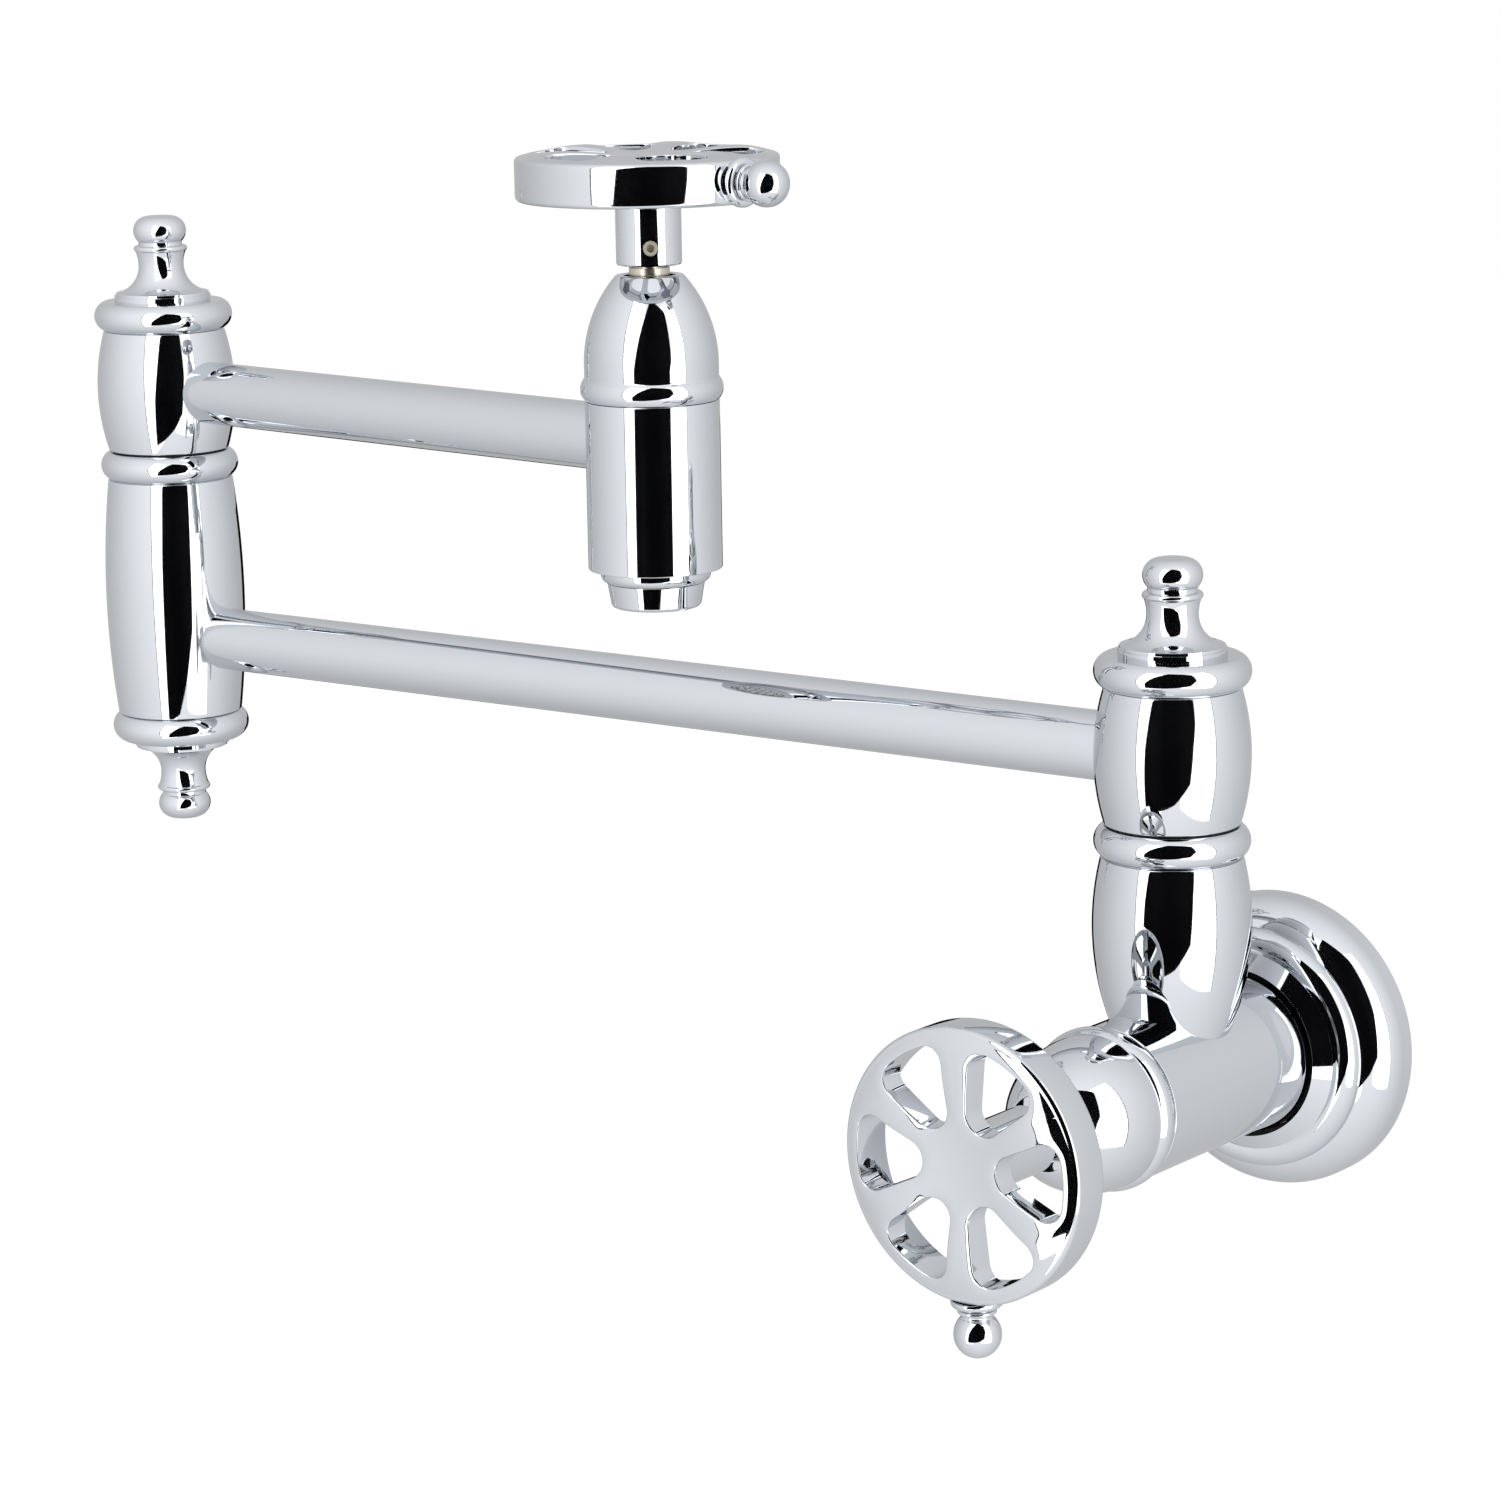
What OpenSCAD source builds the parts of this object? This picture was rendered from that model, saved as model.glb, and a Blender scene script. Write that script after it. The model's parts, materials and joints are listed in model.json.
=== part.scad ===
// Wall mounted pot filler tap: two stop valves, two swivel joints and a folding double arm.
// Millimetres. The origin lies on the wall, on the axis of the inlet: +Z is up, +Y runs into
// the wall, and the tap stands out along -Y. The arms are drawn folded, one over the other.

/* [Arms] */
// Outside radius of both arm tubes
tube_r = 9; // [8:0.25:10]
// Wall of both arm tubes
tube_wall = 1.4; // [1:0.1:1.8]
// Lower arm, from the post's axis to the elbow's axis
lower_arm_l = 341.5; // [300:0.5:420]
// Upper arm, from the elbow's axis to the spout's axis
upper_arm_l = 198.4; // [170:0.5:240]
// Height of the lower tube's axis above the inlet
lower_tube_z = 85.9; // [83:0.1:96]
// Rise from the lower tube's axis to the upper tube's axis
arm_rise = 73.2; // [66:0.1:84]
// Bearing of the lower arm as drawn, a few degrees off the wall
lower_arm_bearing = 183; // [180:0.5:200]
// Bearing of the upper arm as drawn, folded back over the lower arm
upper_arm_bearing = -4; // [-12:0.5:0]

/* [Valve body] */
// Radius of the horizontal valve body
body_r = 20.5; // [19.5:0.1:22]
// Wall to the front end of the valve body
body_l = 84; // [82:0.5:92]
// Set back of the valve body's rear face from the wall
body_setback = 1; // [0.5:0.1:2]
// Radius of the valve body where it enters the wall flange
body_tail_r = 21.4; // [21.2:0.1:22.2]
// Length of the straight tail of the valve body
body_tail_l = 23.6; // [20:0.1:25]
// Length over which the tail narrows to the body
body_flare_l = 10.4; // [8:0.1:12]
// Radius of the inlet bore, tapped for a half inch pipe
inlet_r = 9.2; // [9:0.05:9.6]
// Depth of the inlet bore
inlet_depth = 16; // [12:0.5:20]

/* [Wall flange] */
// Outer radius of the flange
flange_r = 39.3; // [38:0.1:42]
// Radius of the outer roll's round
flange_roll_r = 10; // [9:0.1:11]
// Height of the outer roll's centre off the wall
flange_roll_z = 5.2; // [4:0.1:7]
// Radius of the inner roll's outside
flange_step_r = 32.3; // [31:0.1:33]
// Radius of the inner roll's round
flange_bead_r = 4.5; // [4:0.1:5]
// Height of the inner roll's centre off the wall
flange_bead_z = 15.2; // [14:0.1:15.8]
// Height of the flange's hole edge off the wall
flange_l = 22.8; // [22:0.1:24]
// Gap all round between the valve body's tail and the flange's hole
flange_gap = 1.2; // [0.8:0.1:1.4]
// Metal between the flange's hollow back and its face
flange_wall = 2.6; // [2:0.1:3]
// Height off the wall at which the flange's cone runs into its inner roll
flange_cone_z = 18.8; // [18:0.1:19.4]
// Bevel round the flange's foot
flange_foot_bevel = 0.6; // [0.3:0.1:1]
// Thickness of the seal ring between the valve body and the flange
flange_seal_w = 2.6; // [2.2:0.1:2.8]
// Height of that seal ring's middle off the wall
flange_seal_z = 17.6; // [17:0.1:18]

/* [Post and elbow columns] */
// Wall to the post's axis
post_standoff = 54.9; // [54:0.1:60]
// Widest radius of the post
post_belly_r = 20.5; // [20:0.1:21]
// Height of the post's widest place above the inlet
post_belly_z = 41.5; // [38:0.1:44]
// Radius of the bulge's outline, seen from the side
post_bulge = 75; // [70:1:110]
// Height of each turned ring
ring_h = 8.2; // [8:0.1:9]
// Radius of each ring's round edge
ring_edge_r = 4.5; // [4.6:0.1:5]
// Outer radius of each ring
ring_r = 20.1; // [19.8:0.1:21]
// Height of the short barrels that carry the tubes
barrel_h = 35.3; // [34:0.1:38]
// Widest radius of the short barrels
barrel_belly_r = 20.1; // [20:0.1:21]
// Radius of the short barrels at their ends
barrel_end_r = 17.5; // [17.4:0.1:18]
// Height of the elbow's long barrel under its ring
elbow_barrel_h = 69.9; // [64:0.1:72]
// Widest radius of the elbow's long barrel
elbow_belly_r = 20.4; // [20.2:0.1:21]
// Radius of the elbow's long barrel at its ends
elbow_end_r = 18.2; // [17.8:0.1:18.6]
// Thickness of the washer that each swivel turns on
thrust_washer_t = 0.4; // [0.3:0.1:1]
// Radius of the swivel washer's outer edge
thrust_washer_r = 16.4; // [15:0.1:16.8]

/* [Finials] */
// Radius of the finial's base plate
finial_base_r = 14; // [13.5:0.1:15]
// Height of the finial's base plate
finial_base_h = 1.8; // [1.4:0.1:2.2]
// Step from the base plate's edge in to the hollow curve
finial_base_step = 0.5; // [0.3:0.1:0.8]
// Radius of the finial's slim neck
finial_neck_r = 6.6; // [6:0.1:7]
// Height of the slim neck's middle
finial_neck_z = 10.4; // [10:0.1:11]
// Radius of the hollow curve under the neck
finial_cove_r = 7.9; // [7.6:0.1:8.2]
// Radius of the long curve over the neck
finial_vase_r = 11.8; // [11:0.1:13]
// Outer radius of the finial's lip
finial_lip_r = 7.8; // [7.6:0.1:8.2]
// Height of the lip's middle
finial_lip_z = 15.3; // [15:0.1:15.6]
// Radius of the lip's round edge
finial_lip_edge_r = 0.9; // [0.7:0.1:1.1]
// Radius of the groove between the lip and the tip
finial_groove_r = 6.4; // [6:0.1:6.6]
// Widest radius of the finial's tip
finial_tip_r = 7.7; // [7.4:0.1:8]
// Height of the tip's widest place
finial_tip_z = 20.4; // [20:0.1:21]
// Radius of the tip's round
finial_tip_round = 4.3; // [4:0.1:4.6]

/* [Swivel joints] */
// Radius of the hollow spindle that the barrel turns on
spindle_r = 9; // [8.8:0.1:9.2]
// Radius of the spindle's water bore
spindle_bore_r = 6; // [5:0.1:6.5]
// Length of the spindle's thread in the piece under it
spindle_thread_l = 22; // [18:0.5:24]
// Radius of the four water ports through the spindle
spindle_port_r = 4; // [3:0.1:4.5]
// Radius of the stud on top of the spindle
spindle_stud_r = 5; // [4:0.1:6]
// Radius of the water chamber inside each barrel
chamber_r = 13; // [12.4:0.1:13.4]
// Height of the water chamber inside the short barrels
chamber_h = 15; // [14:0.1:16]
// Height of the water chamber inside the long barrel
elbow_chamber_h = 42; // [40:0.5:44]
// Metal under the long barrel's chamber
elbow_floor_t = 5; // [4.5:0.1:6]
// Radius of the water passages
passage_r = 6.9; // [6.6:0.1:7]
// Metal left between a chamber and the end of a tube
socket_land = 1; // [0.6:0.1:1.5]
// Height of each swivel seal ring
seal_h = 2; // [1.6:0.1:2.2]
// Radial width of each swivel seal ring
seal_w = 1.8; // [1.4:0.1:2]
// Distance of the seal rings from the tube's axis
seal_offset = 12.2; // [11.2:0.1:13]
// Depth of the recess in the barrel's top
recess_depth = 2.8; // [2.6:0.1:3.4]
// Radius of the recess in the barrel's top
recess_r = 14; // [13.8:0.1:14.4]
// Inner radius of the ring over the recess
collar_bore_r = 12.3; // [12:0.1:12.6]
// Thickness of the ring's top web
collar_web_t = 2.6; // [2.2:0.1:3]
// Width across the flats of the spindle nut
spindle_nut_af = 20; // [19.4:0.1:20.4]
// Free height between the spindle nut and the web
spindle_nut_room = 1.4; // [1:0.1:2]
// Radius of the stud under each finial
finial_stud_r = 4; // [3:0.1:4.5]
// Depth of the lower finial's stud in the long barrel
finial_stud_grip = 3.6; // [2.5:0.1:4]

/* [Spout] */
// Radius of the spout's upright cylinder
spout_r = 17.9; // [17.5:0.1:19]
// Length of the upright cylinder under the tube's axis
spout_drop = 33.6; // [32:0.1:38]
// Length of the upright cylinder over the tube's axis
spout_rise = 11.4; // [10.5:0.1:14]
// Radius of the shoulder over the aerator
shoulder_r = 14.7; // [14.2:0.1:15.5]
// Height of the shoulder over the aerator
shoulder_h = 3.7; // [3:0.1:4.5]
// Radius of the shoulder's round edge
shoulder_round = 2.3; // [1.8:0.1:2.5]
// Radius of the aerator's thread
aerator_thread_r = 12; // [11.8:0.05:12.2]
// Length of the aerator's thread
aerator_thread_l = 9.2; // [8:0.1:10]
// Thickness of the aerator's washer
aerator_washer_t = 2; // [1.5:0.1:2.5]
// Radius of the aerator's skirt at its top
skirt_top_r = 13; // [12.8:0.1:13.4]
// Radius of the aerator's skirt at its foot
skirt_foot_r = 12; // [11.6:0.1:12.2]
// Height of the aerator's skirt
skirt_h = 6.6; // [6:0.1:8]
// Bevel at the skirt's foot
skirt_bevel = 0.7; // [0.4:0.1:1]
// Radius of the aerator's water bore
aerator_bore_r = 9.6; // [9.2:0.1:10]
// Width of the lip that the aerator's screen sits on
aerator_lip_w = 1; // [0.6:0.1:1.4]
// Height of the lip that the aerator's screen sits on
aerator_lip_h = 1.7; // [1.2:0.1:2.2]
// Thickness of the aerator's screen
screen_t = 1.2; // [0.8:0.1:1.6]
// Radius of each hole in the screen
screen_hole_r = 0.7; // [0.5:0.05:0.8]
// Distance between the screen's holes
screen_pitch = 2.5; // [2.3:0.1:2.7]

/* [Bonnets] */
// Height of the bead at a bonnet's foot
bead_h = 6.2; // [5.8:0.1:6.8]
// Outer radius of the front bonnet's bead
front_bead_r = 21.3; // [21:0.1:22.4]
// Radius of the front bonnet's dome
front_dome_r = 20; // [19.6:0.1:20.6]
// Height of the front bonnet
front_bonnet_h = 29.4; // [29:0.1:32]
// Radius of the front dome's outline, seen from the side
front_dome_round = 27.8; // [27.4:0.1:30]
// Outer radius of the spout bonnet's bead
spout_bead_r = 19; // [18.8:0.1:20]
// Radius of the spout bonnet's dome
spout_dome_r = 17.85; // [17.5:0.05:18.4]
// Height of the spout bonnet
spout_bonnet_h = 33; // [32.4:0.1:35]
// Radius of the spout dome's outline, seen from the side
spout_dome_round = 35.4; // [34.8:0.1:38]
// Radius of a bead's round edge
bead_edge_r = 4.2; // [3.6:0.1:5]
// Radius of the hole in each bonnet's top
bonnet_hole_r = 6.9; // [6.2:0.1:7.4]
// Metal round the hole in each bonnet's top
bonnet_lip_t = 6; // [5.4:0.1:6.6]
// Radius of each bonnet's inner space
bonnet_space_r = 10.4; // [10:0.1:10.6]
// Height of the threaded neck that a bonnet screws on
neck_h = 12; // [11.6:0.1:13]
// Radius of the front valve's threaded neck
front_neck_r = 16.4; // [15.6:0.1:16.6]
// Radius of the spout valve's threaded neck
spout_neck_r = 14; // [13.8:0.1:14.4]

/* [Valve cartridges] */
// Radius of the valve chambers
valve_chamber_r = 11; // [10.8:0.1:11.4]
// Outer radius of a cartridge
cartridge_r = 9.7; // [9.5:0.1:10]
// Radius of a cartridge's clamped collar
cartridge_collar_r = 13.4; // [13:0.1:13.6]
// Thickness of a cartridge's clamped collar
cartridge_collar_t = 2; // [1.6:0.1:2.4]
// Wall to the front valve's seat
front_seat_s = 44; // [43.5:0.1:45]
// Tube axis down to the spout valve's seat
spout_seat_drop = 13.2; // [13:0.1:14]
// Radius of the ceramic discs
disc_r = 8; // [7.9:0.05:8.1]
// Thickness of each ceramic disc
disc_t = 3; // [2.5:0.1:3.2]
// Radius of the two ports through each disc
disc_port_r = 2.2; // [1.6:0.1:2.3]
// Metal between each disc port and the disc's edge
disc_port_land = 1.2; // [1:0.1:1.4]
// Thickness of the rubber seat seal
seat_seal_t = 1.5; // [1.2:0.1:1.8]
// Height of the cartridge's inner space above the seat
cup_h = 22; // [21.6:0.1:23]
// Height of the cartridge's side windows above the seat
window_z = 10.6; // [10.4:0.1:10.8]
// Height of the cartridge's side windows
window_h = 7.6; // [7:0.1:7.8]
// Width of the cartridge's side windows
window_w = 8; // [6:0.1:9]
// Radius of the stem
stem_r = 4.2; // [4:0.05:4.3]
// Thickness of the bar at the stem's foot
stem_foot_h = 2.4; // [2:0.1:2.6]
// Length of the bar at the stem's foot
stem_foot_l = 13.6; // [12:0.1:14]
// Width of the bar at the stem's foot
stem_foot_w = 4.6; // [4:0.1:5]
// Length of the tongue that the stem turns the disc with
tang_l = 9.6; // [8:0.1:10]
// Width of that tongue
tang_w = 3; // [2.4:0.1:3.4]
// Height of that tongue
tang_h = 1.2; // [0.8:0.1:1.4]
// Radius of the stem's stop collar
stem_collar_r = 6.5; // [6:0.1:7]
// Height of the stem's stop collar
stem_collar_h = 2.4; // [2:0.1:2.6]
// Radius of the thread that the gland nut screws on
gland_thread_r = 5; // [4.9:0.05:5.1]
// Length of the thread that the gland nut screws on
gland_thread_l = 6; // [5.5:0.1:6.5]
// Width across the flats of the gland nut
gland_nut_af = 14; // [13.4:0.1:14.6]
// Height of the gland nut's six sided part
gland_nut_h = 5.4; // [4.5:0.1:5.6]
// Thickness of the gland nut's end over the thread
gland_cap_t = 1.4; // [1:0.1:1.8]
// Outer radius of the gland nut's round part
gland_r = 5.4; // [5.2:0.1:5.8]
// Length of the gland nut that stands out of the bonnet
gland_out = 1.9; // [1.5:0.1:2.2]

/* [Wheel handles] */
// Outer radius of the wheels
wheel_r = 34.8; // [33:0.1:38]
// Thickness of the wheel's rim
rim_t = 11.1; // [10.4:0.1:12]
// Radius of the rim's rounded edges
rim_edge_r = 1.3; // [0.8:0.1:1.6]
// Rise of the wheel's face from the rim to the middle
face_rise = 3.5; // [3:0.1:4.2]
// Depth of the hollow in the wheel's back
back_depth = 5.4; // [4.8:0.1:6]
// Thickness of the rim's wall behind the spokes
rim_wall = 3.8; // [3.4:0.1:4]
// Radius to the outer ends of the wheel's openings
opening_outer_r = 30.6; // [29.6:0.1:31]
// Width of the wheel's spokes near the neck
spoke_w = 5.7; // [5.4:0.1:6.4]
// Width of the wheel's spokes near the rim
spoke_rim_w = 7.9; // [7.2:0.1:8.6]
// Radius of the openings' inner ends
opening_tip_round = 5.2; // [4.6:0.1:5.4]
// Radius of the openings' outer corners
opening_corner_round = 4.5; // [3.8:0.1:5]
// Number of spokes
spokes = 6; // [5:1:8]
// Radius of the wheel's neck
wheel_neck_r = 8.7; // [8.2:0.1:9.4]
// Length of the wheel's neck behind the rim
wheel_neck_l = 17.2; // [16:0.1:19]
// Depth of the stem's bore in the wheel
wheel_bore_l = 18; // [16:0.1:20]
// Gap between the front bonnet and the front wheel's neck
front_wheel_gap = 6; // [2.6:0.1:7]
// Gap between the spout bonnet and the spout wheel's neck
spout_wheel_gap = 2.7; // [2.4:0.1:4]
// Bearing of the front wheel's knob, seen from the front
front_knob_bearing = -88.7; // [-120:0.1:-60]
// Bearing of the spout wheel's knob, seen from above
spout_knob_bearing = -6; // [-40:0.1:40]
// Radius of the knob's ball
knob_ball_r = 6; // [5.5:0.1:6.4]
// Rim to the ball's centre
knob_reach = 8.9; // [8.6:0.1:9.6]
// Radius of the knob's saucer
knob_saucer_r = 6.5; // [6:0.1:7]
// Thickness of the knob's saucer
knob_saucer_t = 1.9; // [1.6:0.1:2.1]
// Thickness of the saucer at its edge
knob_saucer_edge = 0.5; // [0.3:0.1:0.8]
// Radius of the knob's neck
knob_neck_r = 3.9; // [3.4:0.1:4.2]
// Outer radius of the knob's small ring
knob_ring_r = 4.9; // [4.6:0.1:5.2]
// Height of the knob's small ring
knob_ring_h = 1.2; // [0.8:0.1:1.4]
// Radius of the stud that holds the knob
knob_stud_r = 2.5; // [2:0.1:3]
// Length of the stud that holds the knob
knob_stud_l = 3.2; // [2.6:0.1:3.4]
// Radius of the set screw in each wheel's neck
set_screw_r = 2; // [1.5:0.1:2.5]
// Neck's end to the set screw's axis
set_screw_z = 4.8; // [4:0.1:6]
// Bearing of the set screw from the knob
set_screw_bearing = -41; // [-60:1:-30]
// Depth of the set screw's face below the neck's face
set_screw_sink = 0.5; // [0.2:0.1:1]
// Width across the flats of the set screw's socket
set_screw_socket_af = 2; // [1.5:0.1:2]
// Depth of the set screw's socket
set_screw_socket_l = 1.8; // [1.4:0.1:2.2]

/* [Fits] */
// Radial gap of the turning fits
running_gap = 0.06; // [0.03:0.01:0.09]
// Radial gap of the screwed and soldered fits
thread_gap = 0.05; // [0.03:0.01:0.09]
// Play along the axis of the turning pieces
end_play = 0.3; // [0.2:0.05:0.4]
// Free space round the pieces inside a chamber
inner_gap = 0.3; // [0.25:0.05:0.4]

/* [Hidden] */
$fa = 4;
$fs = 0.8;
overrun = 1;
// Sides that a preview draws a long shallow arc with
long_arc_sides = 240;
// Step between an opening's sides and its rounds, so they cross and don't only touch
opening_step = 0.04;

// Heights on the post's axis, above the inlet
seat_z = lower_tube_z - barrel_h / 2 - thrust_washer_t;
post_ring_z = seat_z - ring_h;
// Heights on the elbow's axis
upper_tube_z = lower_tube_z + arm_rise;
elbow_seat_z = upper_tube_z - barrel_h / 2 - thrust_washer_t;
elbow_foot_z = elbow_seat_z - ring_h - elbow_barrel_h;
elbow_chamber_z = elbow_foot_z + elbow_floor_t;
// Places of the elbow's and the spout's axes
elbow_x = lower_arm_l * cos(lower_arm_bearing);
elbow_y = lower_arm_l * sin(lower_arm_bearing) - post_standoff;
spout_x = elbow_x + upper_arm_l * cos(upper_arm_bearing);
spout_y = elbow_y + upper_arm_l * sin(upper_arm_bearing);
// Heights on the spout's axis
spout_foot_z = upper_tube_z - spout_drop;
spout_top_z = upper_tube_z + spout_rise;
spout_seat_z = upper_tube_z - spout_seat_drop;
shoulder_foot_z = spout_foot_z - shoulder_h;
aerator_seat_z = shoulder_foot_z + aerator_thread_l + aerator_washer_t;
// Sizes that follow others
seal_groove_r = spindle_r + running_gap + seal_w;
groove_h = seal_h + thread_gap;
ring_core_r = ring_r - ring_edge_r;
flange_hole_r = body_tail_r + flange_gap;
flange_groove_r = body_tail_r + flange_seal_w + thread_gap;
flange_sleeve_r = flange_hole_r + flange_wall;
aerator_washer_w = aerator_thread_r - aerator_bore_r + aerator_lip_w;
cup_r = disc_r + inner_gap;
disc_port_offset = disc_r - disc_port_r - disc_port_land;
foot_z = seat_seal_t + 2 * disc_t;
spout_cartridge_h = spout_top_z + neck_h - spout_seat_z;
front_cartridge_h = body_l + neck_h - front_seat_s;

// Colours, as the photograph shows them
chrome = "#c9ccd3";
nickel = "#b7ae9a";
rubber = "#1d1d1f";
ceramic = "#e8e3da";
plastic = "#d9d9d2";

// Places: children are drawn in the frame of the axis that is named
module on_inlet() rotate([90, 0, 0]) children();
module on_post() translate([0, -post_standoff, 0]) children();
module on_elbow() translate([elbow_x, elbow_y, 0]) children();
module on_spout() translate([spout_x, spout_y, 0]) children();
module at_base_swivel() on_post() translate([0, 0, lower_tube_z]) children();
module at_elbow_swivel() on_elbow() translate([0, 0, upper_tube_z]) children();
module at_front_wheel()
    on_inlet() translate([0, 0, body_l + front_bonnet_h + front_wheel_gap])
        rotate([0, 0, front_knob_bearing]) children();
module at_spout_wheel()
    on_spout() translate([0, 0, spout_top_z + spout_bonnet_h + spout_wheel_gap])
        rotate([0, 0, spout_knob_bearing]) children();

// Outlines to turn round an axis: x is the radius and y the height

// A rectangle between two radii and two heights
module band(r1, r2, z1, z2) translate([r1, z1]) square([r2 - r1, z2 - z1]);

// A full disc shape of a given radius round a point
module round_at(x, y, r) translate([x, y]) circle(r = r);

// The same for the long shallow arcs
module long_round_at(x, y, r) translate([x, y]) circle(r = r, $fn = long_arc_sides);

// A bulging outline: widest in the middle of its height, end_r at both ends
module bulge(belly_r, end_r, z1, z2) {
    sag = belly_r - end_r;
    half = (z2 - z1) / 2;
    arc_r = (half * half + sag * sag) / (2 * sag);
    intersection() {
        band(0, belly_r + overrun, z1, z2);
        long_round_at(belly_r - arc_r, (z1 + z2) / 2, arc_r);
    }
}

// A ring with a round outer edge, flat above and below
module ring_outline(edge_x, edge_r, z1, z2) {
    band(0, edge_x, z1, z2);
    intersection() {
        band(0, edge_x + edge_r + overrun, z1, z2);
        round_at(edge_x, (z1 + z2) / 2, edge_r);
    }
}

// A soft ring, squeezed a little, so its section is a rectangle with round sides
module seal_ring(inner_r, width, height) {
    round_r = height / 4;
    rotate_extrude() {
        band(inner_r, inner_r + width, round_r - height / 2, height / 2 - round_r);
        band(inner_r + round_r, inner_r + width - round_r, -height / 2, height / 2);
        for (x = [inner_r + round_r, inner_r + width - round_r])
            for (side = [-1, 1]) round_at(x, side * (height / 2 - round_r), round_r);
    }
}

// A straight bore or rod along z
module rod(r, z1, z2) translate([0, 0, z1]) cylinder(r = r, h = z2 - z1);

// A straight bore or rod that runs sideways at a bearing, from one radius to another
module side_rod(r, from_r, to_r, z, bearing)
    translate([0, 0, z]) rotate([0, 0, bearing]) rotate([0, 90, 0]) rod(r, from_r, to_r);

// A six sided prism with a given width across its flats
module hex_rod(af, z1, z2) translate([0, 0, z1]) cylinder(r = af / 2 / cos(30), h = z2 - z1, $fn = 6);

// Swivel joint, drawn with the tube's axis at height zero

// Hollow spindle: screwed in below, with four water ports and a stud for its nut
module swivel_spindle() {
    foot = -barrel_h / 2 - thrust_washer_t - spindle_thread_l;
    shoulder = barrel_h / 2 - recess_depth + end_play;
    difference() {
        union() {
            rod(spindle_r, foot, shoulder);
            rod(spindle_stud_r, shoulder, swivel_nut_top());
        }
        rod(spindle_bore_r, foot - overrun, spindle_port_r + socket_land);
        for (bearing = [0, 90])
            side_rod(spindle_port_r, -spindle_r - overrun, spindle_r + overrun, 0, bearing);
    }
}

// Height of the spindle nut's top, a little below the ring's web
function swivel_nut_top() = barrel_h / 2 + ring_h - collar_web_t - spindle_nut_room;

// Nut on the spindle's stud, which keeps the barrel from lifting off
module swivel_nut() {
    foot = barrel_h / 2 - recess_depth + end_play;
    difference() {
        hex_rod(spindle_nut_af, foot, swivel_nut_top());
        rod(spindle_stud_r + thread_gap, foot - overrun, swivel_nut_top() + overrun);
    }
}

// Thin washer that the barrel turns on
module swivel_washer() {
    foot = -barrel_h / 2 - thrust_washer_t;
    difference() {
        rod(thrust_washer_r, foot, foot + thrust_washer_t);
        rod(spindle_r + inner_gap, foot - overrun, foot + thrust_washer_t + overrun);
    }
}

// Barrel that turns on the spindle and takes the tube at a bearing
module swivel_barrel(bearing) {
    rotate([0, 0, bearing]) difference() {
        rotate_extrude() bulge(barrel_belly_r, barrel_end_r, -barrel_h / 2, barrel_h / 2);
        rod(spindle_r + running_gap, -barrel_h / 2 - overrun, barrel_h / 2 + overrun);
        rod(chamber_r, -chamber_h / 2, chamber_h / 2);
        rod(recess_r, barrel_h / 2 - recess_depth, barrel_h / 2 + overrun);
        for (side = [-1, 1]) rod(seal_groove_r, side * seal_offset - groove_h / 2,
                                 side * seal_offset + groove_h / 2);
        tube_socket(chamber_r + socket_land, barrel_belly_r);
    }
}

// Side hole for a tube along +X: a water passage, then a wider seat for the tube's end
module tube_socket(seat_r, outer_r) {
    side_rod(passage_r, 0, seat_r + overrun, 0, 0);
    side_rod(tube_r + thread_gap, seat_r, outer_r + overrun, 0, 0);
}

// Seal ring in its groove in the barrel, above or below the water ports
module swivel_seal(side)
    translate([0, 0, side * seal_offset]) seal_ring(spindle_r + running_gap, seal_w, seal_h);

// Ring over the barrel, hollow for the spindle nut, with a spigot in the barrel's recess
module swivel_collar() {
    foot = barrel_h / 2;
    difference() {
        union() {
            rotate_extrude() ring_outline(ring_core_r, ring_edge_r, foot, foot + ring_h);
            rod(recess_r - thread_gap, foot - recess_depth / 2, foot);
        }
        rod(collar_bore_r, foot - recess_depth, foot + ring_h - collar_web_t);
        rod(finial_stud_r + thread_gap, foot, foot + ring_h + overrun);
    }
}

// Turned ornament that screws on the ring, drawn with its foot at height zero
module finial(stud_l) {
    rotate_extrude() {
        band(0, finial_base_r, 0, finial_base_h);
        difference() {
            band(0, finial_base_r - finial_base_step, 0, finial_neck_z);
            round_at(finial_neck_r + finial_cove_r, finial_neck_z, finial_cove_r);
        }
        difference() {
            band(0, finial_lip_r, finial_neck_z, finial_lip_z);
            long_round_at(finial_neck_r + finial_vase_r, finial_neck_z, finial_vase_r);
        }
        ring_outline(finial_lip_r - finial_lip_edge_r, finial_lip_edge_r,
                     finial_lip_z - finial_lip_edge_r, finial_lip_z + finial_lip_edge_r);
        band(0, finial_groove_r, finial_lip_z, finial_tip_z);
        ring_outline(finial_tip_r - finial_tip_round, finial_tip_round,
                     finial_tip_z - finial_tip_round, finial_tip_z + finial_tip_round);
    }
    rod(finial_stud_r, -stud_l, finial_base_h);
}

// Stop valve, drawn with its seat at height zero and its handle above

// Radial ports through a disc, on a line at a bearing
module disc_ports(z1, z2, bearing)
    rotate([0, 0, bearing]) for (side = [-1, 1])
        translate([side * disc_port_offset, 0, 0]) rod(disc_port_r, z1, z2);

// Rubber ring between the seat and the fixed disc
module seat_seal() {
    difference() {
        rod(disc_r, 0, seat_seal_t);
        rod(passage_r, -overrun, seat_seal_t + overrun);
    }
}

// Ceramic disc that stays still
module fixed_disc() {
    difference() {
        rod(disc_r, seat_seal_t, seat_seal_t + disc_t);
        disc_ports(0, foot_z, 0);
    }
}

// Ceramic disc that the stem turns, drawn shut
module moving_disc() {
    difference() {
        rod(disc_r, seat_seal_t + disc_t, foot_z);
        disc_ports(0, foot_z + overrun, 90);
        translate([-tang_l / 2 - thread_gap, -tang_w / 2 - thread_gap, foot_z - tang_h - thread_gap])
            cube([tang_l + 2 * thread_gap, tang_w + 2 * thread_gap, tang_h + overrun]);
    }
}

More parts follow.
